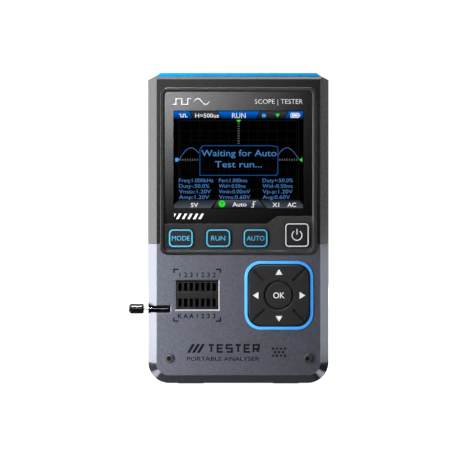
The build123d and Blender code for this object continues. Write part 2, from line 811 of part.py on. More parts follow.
def zif_base():
    """Socket base with wells for the contacts, a channel for the shaft and room for the cam."""
    base = slab(socket_outline(), BOARD_FRONT_Y, SOCKET_BASE_Y)
    for well in at_slots(Rectangle(WELL_W, WELL_H)):
        base -= slab(well, BOARD_FRONT_Y + OVER, SOCKET_BASE_Y - OVER)
    front = SOCKET_BASE_Y - OVER
    base -= box(PIVOT_X - SHAFT_HALF, PIVOT_X + SHAFT_HALF, front, SHAFT_BACK_Y, ARM_Z - OVER, SHAFT_ROOM_Z1)
    base -= box(
        PIVOT_X - CAM_ROOM_HALF, PIVOT_X + CAM_ROOM_HALF, front, CAM_ROOM_BACK_Y,
        CAM_Z0 - 2 * CAM_END_GAP, CAM_Z1 + 2 * CAM_END_GAP,
    )
    return base


def zif_slider():
    """Plate that the cam slides along X, with a hole per contact and a pocket for the cam."""
    plate = rect(SLIDER_X0, SLIDER_X1, SLIDER_Z0, SLIDER_Z1)
    plate += rect(SLIDER_FIELD_X0, SLIDER_X1, SLIDER_FIELD_Z0, SLIDER_FIELD_Z1)
    shape = slab(plate, SLIDER_BACK_Y, SLIDER_FRONT_Y)
    for hole in at_slots(Rectangle(SLIDER_HOLE_W, SLIDER_HOLE_H), SLIDER_HOLE_SHIFT):
        shape -= slab(hole, SLIDER_BACK_Y + OVER, SLIDER_FRONT_Y - OVER)
    width = 2 * (CAM_R + CAM_PLAY)
    height = CAM_Z1 - CAM_Z0 + 2 * CAM_END_GAP
    pocket = centred(cam_centre()[0], (CAM_Z0 + CAM_Z1) / 2, width, height)
    return shape - slab(pocket, SLIDER_BACK_Y + OVER, SLIDER_FRONT_Y - OVER)


def zif_cover():
    """Socket top: skirt round the slider, raised field in the window, slots and a middle bar."""
    cover = slab(socket_outline(), SOCKET_BASE_Y, SOCKET_TOP_Y)
    cover -= slab(socket_outline(SKIRT_T), SOCKET_BASE_Y + OVER, SOCKET_INNER_Y)
    boss = centred(SOCKET_X, SOCKET_Z, SOCKET_W - 2 * BOSS_GAP, SOCKET_H - 2 * BOSS_GAP)
    cover += slab(boss, SOCKET_TOP_Y + ROOT_IN, SOCKET_BOSS_Y)
    for slot in at_slots(Rectangle(SLOT_W, SLOT_H)):
        cover -= slab(slot, SOCKET_INNER_Y + OVER, SOCKET_BOSS_Y - OVER)
    bar = rect(BAR_X0, BAR_X1, BAR_Z0, BAR_Z1)
    return cover + capped_slab(bar, SOCKET_BOSS_Y + ROOT_IN, SOCKET_BOSS_Y - BAR_RISE, BAR_BEVEL)


def zif_contacts():
    """Fourteen contact strips."""
    return [slab(strip, BOARD_FRONT_Y, CONTACT_TIP_Y) for strip in at_slots(Rectangle(CONTACT_T, CONTACT_H))]


def cam_centre():
    """Centre of the cam at rest."""
    angle = math.radians(CAM_ANGLE)
    return PIVOT_X + CAM_THROW * math.cos(angle), PIVOT_Y + CAM_THROW * math.sin(angle)


def zif_cam():
    """Eccentric cam on the lever's shaft."""
    x, y = cam_centre()
    return rod_z(x, y, CAM_R, CAM_Z0, CAM_Z1) - rod_z(PIVOT_X, PIVOT_Y, WIRE_R, CAM_Z0 - OVER, CAM_Z1 + OVER)


def zif_lever():
    """Bent wire: shaft along Z inside the socket, then an arm along X out to the knob."""
    points = ((PIVOT_X, PIVOT_Y, SHAFT_TOP_Z), (PIVOT_X, PIVOT_Y, ARM_Z), (ARM_END_X, PIVOT_Y, ARM_Z))
    return bent_wire(points, BEND_R, WIRE_R)


def zif_knob():
    """Rounded knob with a blind hole for the wire."""
    knob = rod_x(PIVOT_Y, ARM_Z, KNOB_R, KNOB_X0, KNOB_X1)
    knob = fillet(knob.edges().filter_by(GeomType.CIRCLE).group_by(Axis.X)[0], KNOB_END_R)
    knob = fillet(knob.edges().filter_by(GeomType.CIRCLE).group_by(Axis.X)[-1], KNOB_MOUTH_R)
    return knob - rod_x(PIVOT_Y, ARM_Z, WIRE_R, ARM_END_X, KNOB_X1 + OVER)


# Inside ----------------------------------------------------------------------------------------


def main_board():
    """Circuit board with clearance round the screw bosses."""
    board = slab(rect(-BOARD_X, BOARD_X, BOARD_Z0, BOARD_Z1, BOARD_R), BOARD_BACK_Y, BOARD_FRONT_Y)
    back = BOARD_BACK_Y + OVER
    front = BOARD_FRONT_Y - OVER
    for side in SIDES:
        board -= rod_y(side * FRONT_SCREW_X, FRONT_SCREW_Z, REAR_BOSS_R, back, front)
        board -= rod_y(side * REAR_SCREW_X, REAR_SCREW_Z, BOSS_R, back, front)
    return board


def main_chip():
    """Main processor, on the rear of the board."""
    return slab(centred(*MAIN_CHIP), BOARD_BACK_Y + MAIN_CHIP_H, BOARD_BACK_Y)


def board_chips():
    """Small chips on the rear of the board."""
    return [slab(centred(x, z, w, h), BOARD_BACK_Y + CHIP_H, BOARD_BACK_Y) for x, z, w, h in SMALL_CHIPS]


def shield_can():
    """Metal can over the input circuit."""
    return slab(centred(*SHIELD), BOARD_BACK_Y + SHIELD_H, BOARD_BACK_Y)


def battery():
    """Flat pouch cell."""
    half = CELL_W / 2
    return slab(rect(-half, half, CELL_Z0, CELL_Z0 + CELL_L, CELL_R), CELL_BACK_Y, CELL_FRONT_Y)


def battery_tape():
    """Foam tape between the cell and the rear cover."""
    return slab(centred(0, CELL_Z0 + CELL_L / 2, TAPE_W, TAPE_H), INNER_BACK_Y, CELL_BACK_Y)


def lead(side):
    """Battery lead from the cell's top edge to the plug, with wide bends."""
    z = CELL_Z0 + CELL_L
    plug_x = PLUG_CENTRE_X + side * LEAD_SPREAD
    cell_x = 0.6 * plug_x + 2.0
    first, second, last = LEAD_CLIMB
    points = (
        (cell_x, LEAD_TAB_Y, z), (cell_x, LEAD_TAB_Y, z + first),
        (plug_x, LEAD_Y, z + second), (plug_x, LEAD_Y, z + last),
    )
    return bent_wire(points, LEAD_BEND_R, LEAD_R)


def plug_block(grow=0.0):
    """The battery plug's block, wider by grow on each side."""
    z = CELL_Z0 + CELL_L + LEAD_CLIMB[-1]
    half = PLUG_HALF_X + grow
    return box(PLUG_CENTRE_X - half, PLUG_CENTRE_X + half, PLUG_FRONT_Y, PLUG_BACK_Y, z, z + PLUG_L)


def battery_socket():
    """Board socket that the battery plug sits in."""
    z = CELL_Z0 + CELL_L + LEAD_CLIMB[-1] + SOCKET_RISE
    x0 = PLUG_CENTRE_X - SOCKET_HALF_X
    x1 = PLUG_CENTRE_X + SOCKET_HALF_X
    return box(x0, x1, BOARD_BACK_Y, SOCKET_BACK_Y, z, z - SOCKET_RISE + SOCKET_L) - plug_block(PLUG_FIT)


def sounder():
    """Round sounder with a small sound hole."""
    body = rod_y(GRILLE_X, GRILLE_Z, SOUNDER_R, BOARD_FRONT_Y, SOUNDER_FRONT_Y)
    return body - rod_y(GRILLE_X, GRILLE_Z, SOUNDER_HOLE_R, SOUNDER_HOLE_Y, SOUNDER_FRONT_Y - OVER)


def top_jack(x):
    """Jack shell, its insulator and its centre contact, mouth upward."""
    top = CAP_TOP_Z - JACK_SINK
    floor = top - JACK_DEPTH
    under = JACK_BASE_Z - OVER
    shell = rod_z(x, 0, JACK_OUT_R, JACK_BASE_Z, top) - rod_z(x, 0, JACK_BORE_R, floor, top + OVER)
    shell -= rod_z(x, 0, INSULATOR_R, under, floor)
    insulator = rod_z(x, 0, INSULATOR_R, JACK_BASE_Z, floor) - rod_z(x, 0, CONTACT_R, under, floor + OVER)
    contact = rod_z(x, 0, CONTACT_R, under - OVER, floor)
    contact -= rod_z(x, 0, CONTACT_BORE_R, floor - CONTACT_BORE_DEPTH, floor + OVER)
    return shell, insulator, contact


def port_outline(grow=0.0):
    """Plan view of the charging port's mouth."""
    return RectangleRounded(PORT_W + 2 * grow, PORT_H + 2 * grow, PORT_H / 2 - PORT_SIDE_FLAT + grow)


def usb_shell():
    """Charging port's rolled shell with a closed floor."""
    shell = tower(port_outline(), PORT_Z0, PORT_Z1)
    return shell - tower(port_outline(-PORT_WALL), PORT_Z0 + PORT_FLOOR, PORT_Z1 + OVER)


def usb_tongue():
    """Contact tongue in the middle of the charging port."""
    return box(-TONGUE_X, TONGUE_X, -TONGUE_Y, TONGUE_Y, PORT_Z0 + PORT_FLOOR, TONGUE_Z1)


def cap_side_cut():
    """Wedge off the cap's right end: it slopes in towards the top."""
    low = CASE_H
    top = CAP_TOP_Z
    x = SHOULDER_X
    return Polygon(
        (x, low), (x + OVER, top + OVER), (x - CAP_SIDE_RUN, top + OVER), (x - CAP_SIDE_RUN, top),
        align=None,
    )


def cap_long_cut(y, inward):
    """Wedge off one long edge of the cap, above a low lip."""
    lip = CASE_H + CAP_NOSE_LIP
    top = CAP_TOP_Z
    run = y + inward * CAP_NOSE_RUN
    return Polygon(
        (y, lip), (run, top), (run, top + OVER), (y - inward, top + OVER), (y - inward, lip),
        align=None,
    )


def top_end_cap():
    """Blue cap with sloped edges, a plug through the end wall and a rim under it."""
    cap = box(-SHOULDER_X, SHOULDER_X, CAP_FRONT_Y, CAP_BACK_Y, CASE_H, CAP_TOP_Z)
    side_cut = slab(cap_side_cut(), CAP_BACK_Y + OVER, CAP_FRONT_Y - OVER)
    cap = cap - side_cut - mirror(side_cut, about=Plane.YZ)
    for y, inward in ((CAP_FRONT_Y, 1), (CAP_BACK_Y, -1)):
        cap -= extrude(Plane.YZ * cap_long_cut(y, inward), amount=CASE_W, both=True)
    x = PLUG_X - PLUG_GAP
    y = PLUG_Y - PLUG_GAP
    cap += box(-x, x, -y, y, CAVITY_TOP_Z - 2 * PLUG_GAP, CASE_H + PLUG_GAP)
    rim_top = CAVITY_TOP_Z - PLUG_GAP
    cap += box(-RIM_X, RIM_X, -RIM_Y, RIM_Y, rim_top - RIM_H, rim_top)
    for side in SIDES:
        cap -= rod_z(side * JACK_X, 0, JACK_OUT_R + JACK_GAP, JACK_BASE_Z, CAP_TOP_Z + OVER)
    return cap - tower(port_outline(PORT_GAP), PORT_Z0, CAP_TOP_Z + OVER)


def hex_recess(x, z, back, front):
    """Hexagonal driver recess."""
    return slab(Pos(x, z) * RegularPolygon(HEX_R, 6), back, front)


def button_screw(x):
    """Front screw: low domed head with a hex socket, and a shank."""
    head = rod_y(x, FRONT_SCREW_Z, HEAD_R, FACE_Y, FACE_Y - HEAD_H)
    head = fillet(front_edges(head), HEAD_EDGE_R)
    head -= hex_recess(x, FRONT_SCREW_Z, FACE_Y - HEX_FLOOR, FACE_Y - HEAD_H - OVER)
    return head + rod_y(x, FRONT_SCREW_Z, SHANK_R, SHANK_END_Y, FACE_Y)


def rear_screw(x):
    """Rear screw, its head sunk in the rear cover."""
    seat = BACK_Y - HEAD_SINK
    top = seat + REAR_HEAD_H
    head = rod_y(x, REAR_SCREW_Z, HEAD_R, top, seat)
    head -= hex_recess(x, REAR_SCREW_Z, top + OVER, top - REAR_HEX_DEPTH)
    return head + rod_y(x, REAR_SCREW_Z, SHANK_R, seat, REAR_SHANK_END_Y)


def bottom_feet():
    """Two low pads under the bottom end."""
    half = FOOT_W / 2
    return [box(s * FOOT_X - half, s * FOOT_X + half, FOOT_Y0, FOOT_Y1, -FOOT_H, 0.0) for s in SIDES]


def rear_label():
    """Thin label in the rear cover's recess."""
    return slab(centred(0, LABEL_Z, LABEL_W, LABEL_H, LABEL_R), BACK_Y, BACK_Y - LABEL_DEPTH)


def main():
    os.makedirs("parts", exist_ok=True)
    save("upper_cover", upper_cover())
    save("lower_cover", lower_cover())
    save("rear_cover", rear_cover())
    save("bezel", bezel())
    save("lens", lens())
    save("lens_mask", lens_mask())
    save("display_gasket", display_gasket())
    save("lcd_panel", lcd_panel())
    save("lcd_backlight", lcd_backlight())
    save("display_foam", *display_foam())
    save("lcd_ribbon", lcd_ribbon())
    save("lcd_connector", lcd_connector())

    for name, x, z, w, h, r in fascia_keys():
        save(name + "_key", fascia_key(x, z, w, h, r))
        save(name + "_plunger", plunger(x, z))
    save("dpad_ring", dpad_ring())
    save("rocker", rocker())
    save("ok_key", ok_key())
    save("ok_plunger", plunger(PAD_X, PAD_Z))
    save("rocker_plungers", *[plunger(x, z) for x, z in rocker_posts()])
    save("gimbal_ring", gimbal_ring())
    save("dpad_pedestal", collar(BOARD_FRONT_Y, PEDESTAL_TOP_Y))
    save("switch_bodies", *[tact_switch(x, z) for x, z in switch_centres()])

    save("zif_base", zif_base())
    save("zif_slider", zif_slider())
    save("zif_cover", zif_cover())
    save("zif_contacts", *zif_contacts())
    save("zif_cam", zif_cam())
    save("zif_lever", zif_lever())
    save("zif_knob", zif_knob())

    save("main_board", main_board())
    save("main_chip", main_chip())
    save("board_chips", *board_chips())
    save("shield_can", shield_can())
    save("sounder", sounder())
    save("battery", battery())
    save("battery_tape", battery_tape())
    save("battery_lead_red", lead(-1))
    save("battery_lead_black", lead(1))
    save("battery_plug", plug_block())
    save("battery_socket", battery_socket())

    save("top_end_cap", top_end_cap())
    for name, x in (("generator", -JACK_X), ("probe", JACK_X)):
        shell, insulator, contact = top_jack(x)
        save(name + "_jack", shell)
        save(name + "_insulator", insulator)
        save(name + "_contact", contact)
    save("usb_shell", usb_shell())
    save("usb_tongue", usb_tongue())

    save("front_screws", *[button_screw(s * FRONT_SCREW_X) for s in SIDES])
    save("rear_screws", *[rear_screw(s * REAR_SCREW_X) for s in SIDES])
    save("bottom_feet", *bottom_feet())
    save("rear_label", rear_label())


main()
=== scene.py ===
import math

import bmesh
import bpy
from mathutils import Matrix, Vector


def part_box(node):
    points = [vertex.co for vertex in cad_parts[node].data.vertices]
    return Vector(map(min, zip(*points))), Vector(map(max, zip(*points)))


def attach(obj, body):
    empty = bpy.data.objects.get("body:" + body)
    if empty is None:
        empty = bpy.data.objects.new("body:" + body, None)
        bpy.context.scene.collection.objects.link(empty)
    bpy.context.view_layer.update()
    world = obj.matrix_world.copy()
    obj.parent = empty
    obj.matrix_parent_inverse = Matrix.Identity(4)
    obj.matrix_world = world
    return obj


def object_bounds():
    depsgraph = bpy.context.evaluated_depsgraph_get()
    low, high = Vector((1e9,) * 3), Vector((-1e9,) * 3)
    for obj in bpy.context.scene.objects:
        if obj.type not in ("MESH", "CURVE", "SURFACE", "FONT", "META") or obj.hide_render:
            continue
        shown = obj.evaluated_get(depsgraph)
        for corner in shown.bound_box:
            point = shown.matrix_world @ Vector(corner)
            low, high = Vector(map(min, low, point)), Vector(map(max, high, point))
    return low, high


# Component tester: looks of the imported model. Metres, +Z up, front face towards -Y.
# Sizes of prints and screen shapes are written in millimetres.

MM = 0.001

# Sockets of the mix node: its two numbers and their result, its two colours and their result.
MIX_NUMBERS, MIX_NUMBER = (2, 3), 0
MIX_COLOURS, MIX_COLOUR = (6, 7), 2
# Most values of a noise lie in its span; a random value has the full span.
NOISE_SPAN = (0.3, 0.7)
FULL_SPAN = (0.0, 1.0)
# Rays that find the slope of a softened edge.
EDGE_SAMPLES = 4

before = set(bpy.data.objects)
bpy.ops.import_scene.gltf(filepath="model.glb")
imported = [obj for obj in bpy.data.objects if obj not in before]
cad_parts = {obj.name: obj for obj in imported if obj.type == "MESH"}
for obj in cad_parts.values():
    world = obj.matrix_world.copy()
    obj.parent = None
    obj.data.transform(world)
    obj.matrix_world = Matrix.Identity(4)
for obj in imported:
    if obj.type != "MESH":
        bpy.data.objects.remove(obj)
cad_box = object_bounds()


# ---------------------------------------------------------------------------------------------
# Material helpers
# ---------------------------------------------------------------------------------------------


def display_colour(r, g, b):
    """Linear colour for an 8-bit display colour."""
    parts = [c / 255 for c in (r, g, b)]
    return tuple(c / 12.92 if c < 0.04045 else ((c + 0.055) / 1.055) ** 2.4 for c in parts)


def shade(colour, factor):
    """The colour made lighter or darker by a factor."""
    return tuple(min(1.0, c * factor) for c in colour)


class Shader:
    """A material being built: its Principled shader and short calls for the nodes that feed it."""

    def __init__(self, name, colour, roughness, metallic=0.0):
        self.material = bpy.data.materials.new(name)
        self.material.use_nodes = True
        self.nodes = self.material.node_tree.nodes
        self.links = self.material.node_tree.links
        self.bsdf = self.nodes["Principled BSDF"]
        self.set("Base Color", (*colour, 1.0))
        self.set("Roughness", roughness)
        self.set("Metallic", metallic)

    def set(self, socket, value):
        """Gives one of the Principled shader's sockets a constant value."""
        self.bsdf.inputs[socket].default_value = value

    def node(self, kind, **settings):
        """A new node with these settings."""
        made = self.nodes.new(kind)
        for key, value in settings.items():
            setattr(made, key, value)
        return made

    def join(self, source, socket):
        """Links an output to a socket, or sets the socket to a constant number or colour."""
        if isinstance(source, tuple):
            socket.default_value = (*source, 1.0)
        elif isinstance(source, float):
            socket.default_value = source
        else:
            self.links.new(source, socket)

    def feed(self, output, *sockets):
        """Links an output to some of the Principled shader's sockets."""
        for socket in sockets:
            self.links.new(output, self.bsdf.inputs[socket])

    def place(self, stretch=(1.0, 1.0, 1.0)):
        """Object coordinates, stretched."""
        coordinates = self.node("ShaderNodeTexCoord")
        mapping = self.node("ShaderNodeMapping")
        mapping.inputs["Scale"].default_value = stretch
        self.join(coordinates.outputs["Object"], mapping.inputs["Vector"])
        return mapping.outputs["Vector"]

    def axes(self):
        """Object coordinates along X, Y and Z, in metres."""
        split = self.node("ShaderNodeSeparateXYZ")
        self.join(self.place(), split.inputs["Vector"])
        return split.outputs

    def along(self, axis, low, high):
        """0 to 1 along an axis of the object, between two places in metres."""
        return self.spread(self.axes()[axis], 0.0, 1.0, (low, high))

    def inside(self, low, high):
        """1 inside a box of the object's space, in metres, and 0 outside it."""
        tests = []
        for place, start, end in zip(self.axes(), low, high):
            tests.append(self.calculate("COMPARE", place, (start + end) / 2, (end - start) / 2))
        return self.calculate("MULTIPLY", self.calculate("MULTIPLY", tests[0], tests[1]), tests[2])

    def calculate(self, operation, *values):
        """Result of a math node; each value is a number or an output."""
        made = self.node("ShaderNodeMath", operation=operation)
        for value, socket in zip(values, made.inputs):
            self.join(value, socket)
        return made.outputs["Value"]

    def between(self, factor, first, second):
        """Number between first and second by factor."""
        made = self.node("ShaderNodeMix", data_type="FLOAT")
        self.join(factor, made.inputs["Factor"])
        for value, socket in zip((first, second), MIX_NUMBERS):
            self.join(value, made.inputs[socket])
        return made.outputs[MIX_NUMBER]

    def blend(self, factor, first, second):
        """Colour between first and second by factor."""
        made = self.node("ShaderNodeMix", data_type="RGBA")
        self.join(factor, made.inputs["Factor"])
        for value, socket in zip((first, second), MIX_COLOURS):
            self.join(value, made.inputs[socket])
        return made.outputs[MIX_COLOUR]

    def noise(self, size, detail, roughness=0.5, stretch=(1.0, 1.0, 1.0)):
        """Noise whose features are about size millimetres wide."""
        made = self.node("ShaderNodeTexNoise")
        made.inputs["Scale"].default_value = 1.0 / (size * MM)
        made.inputs["Detail"].default_value = detail
        made.inputs["Roughness"].default_value = roughness
        self.join(self.place(stretch), made.inputs["Vector"])
        return made.outputs["Fac"]

    def flakes(self, size):
        """Random value per cell, the cells about size millimetres wide."""
        made = self.node("ShaderNodeTexVoronoi")
        made.inputs["Scale"].default_value = 1.0 / (size * MM)
        self.join(self.place(), made.inputs["Vector"])
        split = self.node("ShaderNodeSeparateColor")
        self.join(made.outputs["Color"], split.inputs["Color"])
        return split.outputs["Red"]

    def spread(self, value, low, high, source=NOISE_SPAN):
        """A value in the range source, mapped to the range low to high."""
        made = self.node("ShaderNodeMapRange")
        made.inputs["From Min"].default_value = source[0]
        made.inputs["From Max"].default_value = source[1]
        made.inputs["To Min"].default_value = low
        made.inputs["To Max"].default_value = high
        self.join(value, made.inputs["Value"])
        return made.outputs["Result"]

    def bump(self, height, distance, strength, edge=0.0):
        """Relief in metres, over edges softened by a radius of edge metres."""
        made = self.node("ShaderNodeBump")
        made.inputs["Distance"].default_value = distance
        made.inputs["Strength"].default_value = strength
        self.join(height, made.inputs["Height"])
        if edge > 0:
            soft = self.node("ShaderNodeBevel", samples=EDGE_SAMPLES)
            soft.inputs["Radius"].default_value = edge
            self.join(soft.outputs["Normal"], made.inputs["Normal"])
        self.feed(made.outputs["Normal"], "Normal")


def moulded(name, colour, roughness, grain=0.35, depth=0.012, specular=0.5, cloud=0.08, edge=0.12):
    """Moulded plastic: fine spark-eroded grain, faintly cloudy colour and uneven gloss.

    Grain is the width of its grains, depth their height and edge the radius of the edges, in millimetres."""
    shader = Shader(name, colour, roughness)
    shader.set("Specular IOR Level", specular)
    patches = shader.spread(shader.noise(9.0, 3.0), 0.0, 1.0)
    shader.feed(shader.blend(patches, shade(colour, 1 - cloud), shade(colour, 1 + cloud)), "Base Color")
    fine = shader.noise(grain, 2.0)
    shader.feed(shader.spread(fine, roughness - 0.04, roughness + 0.06), "Roughness")
    shader.bump(fine, depth * MM, 0.6, edge * MM)
    return shader.material


def flake_paint(name, colour, roughness, metallic, areas):
    """Metallic paint: small flakes of lighter and darker tone over a faintly cloudy colour.

    Each of the areas is a box, by its two corners, with a colour, roughness and metallic value of its own."""
    shader = Shader(name, colour, roughness, metallic)
    flake = shader.flakes(0.5)
    patches = shader.spread(shader.noise(11.0, 3.0), 0.0, 1.0)
    cloudy = shader.blend(patches, shade(colour, 0.96), shade(colour, 1.04))
    glitter = shader.blend(flake, shade(colour, 0.66), shade(colour, 1.34))
    tone = shader.blend(0.5, cloudy, glitter)
    matt = shader.spread(flake, roughness - 0.03, roughness + 0.03, FULL_SPAN)
    metal = metallic
    for low, high, own_tone, own_matt, own_metal in areas:
        mask = shader.inside(low, high)
        tone = shader.blend(mask, tone, own_tone)
        matt = shader.between(mask, matt, own_matt)
        metal = shader.between(mask, metal, own_metal)
    shader.feed(tone, "Base Color")
    shader.feed(matt, "Roughness")
    shader.feed(metal, "Metallic")
    shader.bump(shader.noise(0.5, 2.0), 0.006 * MM, 0.5, 0.12 * MM)
    return shader.material


def rubbery(name, colour, roughness, grain=0.25, depth=0.008, edge=0.15):
    """Soft-touch rubber: matt, faint sheen, very fine grain."""
    shader = Shader(name, colour, roughness)
    shader.set("Specular IOR Level", 0.4)
    shader.set("Sheen Weight", 0.06)
    shader.set("Sheen Roughness", 0.5)
    dust = shader.spread(shader.noise(3.0, 4.0), 0.0, 1.0)
    shader.feed(shader.blend(dust, shade(colour, 0.90), shade(colour, 1.10)), "Base Color")
    shader.bump(shader.noise(grain, 2.0), depth * MM, 0.6, edge * MM)
    return shader.material


def brushed(name, colour, roughness, stretch=(1.0, 1.0, 14.0)):
    """Drawn or brushed metal: fine lines across the stretched axis and faint stains."""
    shader = Shader(name, colour, roughness, 1.0)
    lines = shader.noise(0.9, 3.0, 0.6, stretch)
    stain = shader.spread(shader.noise(4.0, 3.0), 0.0, 1.0)
    shader.feed(shader.blend(stain, shade(colour, 0.86), shade(colour, 1.06)), "Base Color")
    shader.feed(shader.spread(lines, roughness - 0.06, roughness + 0.10), "Roughness")
    shader.bump(lines, 0.004 * MM, 0.4, 0.06 * MM)
    return shader.material


def lit(name, colour):
    """Light of the display: a bright shape with a faintly uneven glow."""
    shader = Shader(name, shade(colour, 0.1), 0.5)
    shader.set("Specular IOR Level", 0.0)
    uneven = shader.spread(shader.noise(1.4, 2.0), 0.0, 1.0)
    shader.feed(shader.blend(uneven, shade(colour, 0.96), shade(colour, 1.02)), "Emission Color")
    shader.set("Emission Strength", 1.0)
    return shader.material


def lit_ramp(name, low, high, first, second):
    """Light of the display whose colour changes upwards, from first at low to second at high, in metres."""
    shader = Shader(name, shade(first, 0.1), 0.5)
    shader.set("Specular IOR Level", 0.0)
    shader.feed(shader.blend(shader.along("Z", low, high), first, second), "Emission Color")
    shader.set("Emission Strength", 1.0)
    return shader.material


def ink(name, colour, roughness, glow=0.0, specular=0.5):
    """Printed ink: slightly uneven tone, and a painted glow that lifts its brightness."""
    shader = Shader(name, colour, roughness)
    shader.set("Specular IOR Level", specular)
    uneven = shader.spread(shader.noise(0.5, 3.0), 0.0, 1.0)
    tone = shader.blend(uneven, shade(colour, 0.93), shade(colour, 1.05))
    shader.feed(tone, "Base Color")
    # painted glow: the ink's tone also feeds an emission
    if glow > 0:
        shader.feed(tone, "Emission Color")
        shader.set("Emission Strength", glow)
    shader.bump(uneven, 0.002 * MM, 0.4)
    return shader.material


def dress(nodes, material):
    """Gives CAD nodes their finish."""
    for node in nodes.split():
        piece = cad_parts[node]
        if not piece.material_slots:
            piece.data.materials.append(material)
        for material_slot in piece.material_slots:
            material_slot.material = material


# ---------------------------------------------------------------------------------------------
# Thin prints and lit shapes
# ---------------------------------------------------------------------------------------------

FRONT, BACK = -1, 1
# Thickness of a print, in millimetres.
RISE = 0.02
# Straight pieces in a quarter turn of a round corner.
CORNER_STEPS = 8
# A stroke's mitred corner reaches no further than half its width divided by this.
SHARPEST_MITRE = 0.4


def measure_font():
    """Cap height of the built-in font at size 1."""
    curve = bpy.data.curves.new("cap_probe", "FONT")
    curve.body = "H"
    holder = bpy.data.objects.new("cap_probe", curve)
    bpy.context.scene.collection.objects.link(holder)
    bpy.context.view_layer.update()
    height = holder.dimensions.y
    bpy.data.objects.remove(holder)
    bpy.data.curves.remove(curve)
    return height


CAP_HEIGHT = measure_font()


def arc(cx, cz, r, start, end, steps):
    """Points on an arc, angles in degrees counterclockwise from +X as seen from the front."""
    angles = [math.radians(start + (end - start) * i / steps) for i in range(steps + 1)]
    return [(cx + r * math.cos(a), cz + r * math.sin(a)) for a in angles]


def rounded(cx, cz, w, h, r):
    """Outline of a rectangle with round corners."""
    points = []
    for i, (sx, sz) in enumerate(((1, 1), (-1, 1), (-1, -1), (1, -1))):
        points += arc(cx + sx * (w / 2 - r), cz + sz * (h / 2 - r), r, 90 * i, 90 * i + 90, CORNER_STEPS)
    return points


class Print:
    """Flat shapes of one material on one body, each a thin closed solid on a plane facing the front or back.

    Shapes are given in millimetres, across and up from the origin as seen from that side."""

    def __init__(self, name, body, material, slot, y, side=FRONT, origin=(0.0, 0.0)):
        self.name, self.body, self.material, self.slot = name, body, material, slot
        self.low, self.high = y, y + side * RISE * MM
        self.side, self.origin = side, origin
        self.mesh = bmesh.new()

    def point(self, x, z, y):
        """A new corner, x and z in millimetres and y in metres."""
        across, up = self.origin
        return self.mesh.verts.new((-self.side * (across + x) * MM, y, (up + z) * MM))

    def sheet(self, points):
        """Filled outline."""
        near = [self.point(x, z, self.high) for x, z in points]
        far = [self.point(x, z, self.low) for x, z in points]
        self.mesh.faces.new(near)
        self.mesh.faces.new(far)
        for i in range(len(points)):
            k = (i + 1) % len(points)
            self.mesh.faces.new((near[i], near[k], far[k], far[i]))

    def ring(self, outer, inner):
        """Band between two outlines with as many points each."""
        out_near, out_far, in_near, in_far = [
            [self.point(x, z, y) for x, z in edge] for edge in (outer, inner) for y in (self.high, self.low)
        ]
        for i in range(len(outer)):
            k = (i + 1) % len(outer)
            for a, b in ((out_near, in_near), (in_near, in_far), (in_far, out_far), (out_far, out_near)):
                self.mesh.faces.new((a[i], a[k], b[k], b[i]))

    def border(self, cx, cz, w, h, r, width):
        """Outline of a rounded rectangle, drawn inwards with the given width."""
        inner = rounded(cx, cz, w - 2 * width, h - 2 * width, r - width)
        self.ring(rounded(cx, cz, w, h, r), inner)

    def bar(self, x0, x1, z0, z1):
        """Upright rectangle between two places across and two places up."""
        self.sheet([(x0, z0), (x1, z0), (x1, z1), (x0, z1)])

    def spot(self, x, z, half_w, half_h):
        """Upright rectangle by its centre and half its sides."""
        self.bar(x - half_w, x + half_w, z - half_h, z + half_h)

    def line(self, points, width):
        """Stroke of constant width along a path, with mitred corners."""
        runs = [Vector((bx - ax, bz - az)).normalized() for (ax, az), (bx, bz) in zip(points, points[1:])]
        left, right = [], []
        for (x, z), before, after in zip(points, runs[:1] + runs, runs + runs[-1:]):
            along = (before + after).normalized()
            reach = width / 2 / max(along.dot(after), SHARPEST_MITRE)
            left.append((x - along.y * reach, z + along.x * reach))
            right.append((x + along.y * reach, z - along.x * reach))
        self.sheet(left + right[::-1])

    def text(self, words, x, z, cap, width=None, weight=0.0, anchor="CENTER"):
        """Words with capitals cap high, their middle line at z, stretched to width if one is given.

        Weight thickens the strokes, in units of the font's size."""
        curve = bpy.data.curves.new(self.name + "_words", "FONT")
        curve.body = words
        curve.align_x = anchor
        curve.resolution_u = 3
        curve.offset = weight
        curve.extrude = 0.5
        holder = bpy.data.objects.new(self.name + "_words", curve)
        bpy.context.scene.collection.objects.link(holder)
        graph = bpy.context.evaluated_depsgraph_get()
        made = bpy.data.meshes.new_from_object(holder.evaluated_get(graph))
        left, right = (pick(v.co.x for v in made.vertices) for pick in (min, max))
        size = cap / CAP_HEIGHT
        stretch = width / (right - left) if width else size
        fixed = {"CENTER": (left + right) / 2, "LEFT": left, "RIGHT": right}[anchor]
        middle, thickness = (self.low + self.high) / 2, abs(self.high - self.low)
        across, up = self.origin
        for v in made.vertices:
            px, pz, depth = v.co
            v.co = (
                -self.side * (across + x + (px - fixed) * stretch) * MM,
                middle + self.side * depth * thickness,
                (up + z - cap / 2 + pz * size) * MM,
            )
        self.mesh.from_mesh(made)
        bpy.data.objects.remove(holder)
        bpy.data.curves.remove(curve)
        bpy.data.meshes.remove(made)

    def done(self):
        """Turns the shapes into one object that rides on its body."""
        bmesh.ops.remove_doubles(self.mesh, verts=self.mesh.verts, dist=1e-7)
        bmesh.ops.recalc_face_normals(self.mesh, faces=self.mesh.faces)
        data = bpy.data.meshes.new(self.name)
        self.mesh.to_mesh(data)
        self.mesh.free()
        data.materials.append(self.material)
        made = bpy.data.objects.new(self.name, data)
        bpy.context.scene.collection.objects.link(made)
        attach(made, self.body)


# ---------------------------------------------------------------------------------------------
# Camera, lights and stage
# ---------------------------------------------------------------------------------------------

FACE_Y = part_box("lower_cover")[0].y

# Width of the picture at the object's face, and the camera's offset from the middle of the object.
PICTURE_WIDTH = 0.2038
AIM_RIGHT, AIM_UP = 0.15 * MM, -0.2 * MM
LENS_MM, SENSOR_MM = 100.0, 36.0


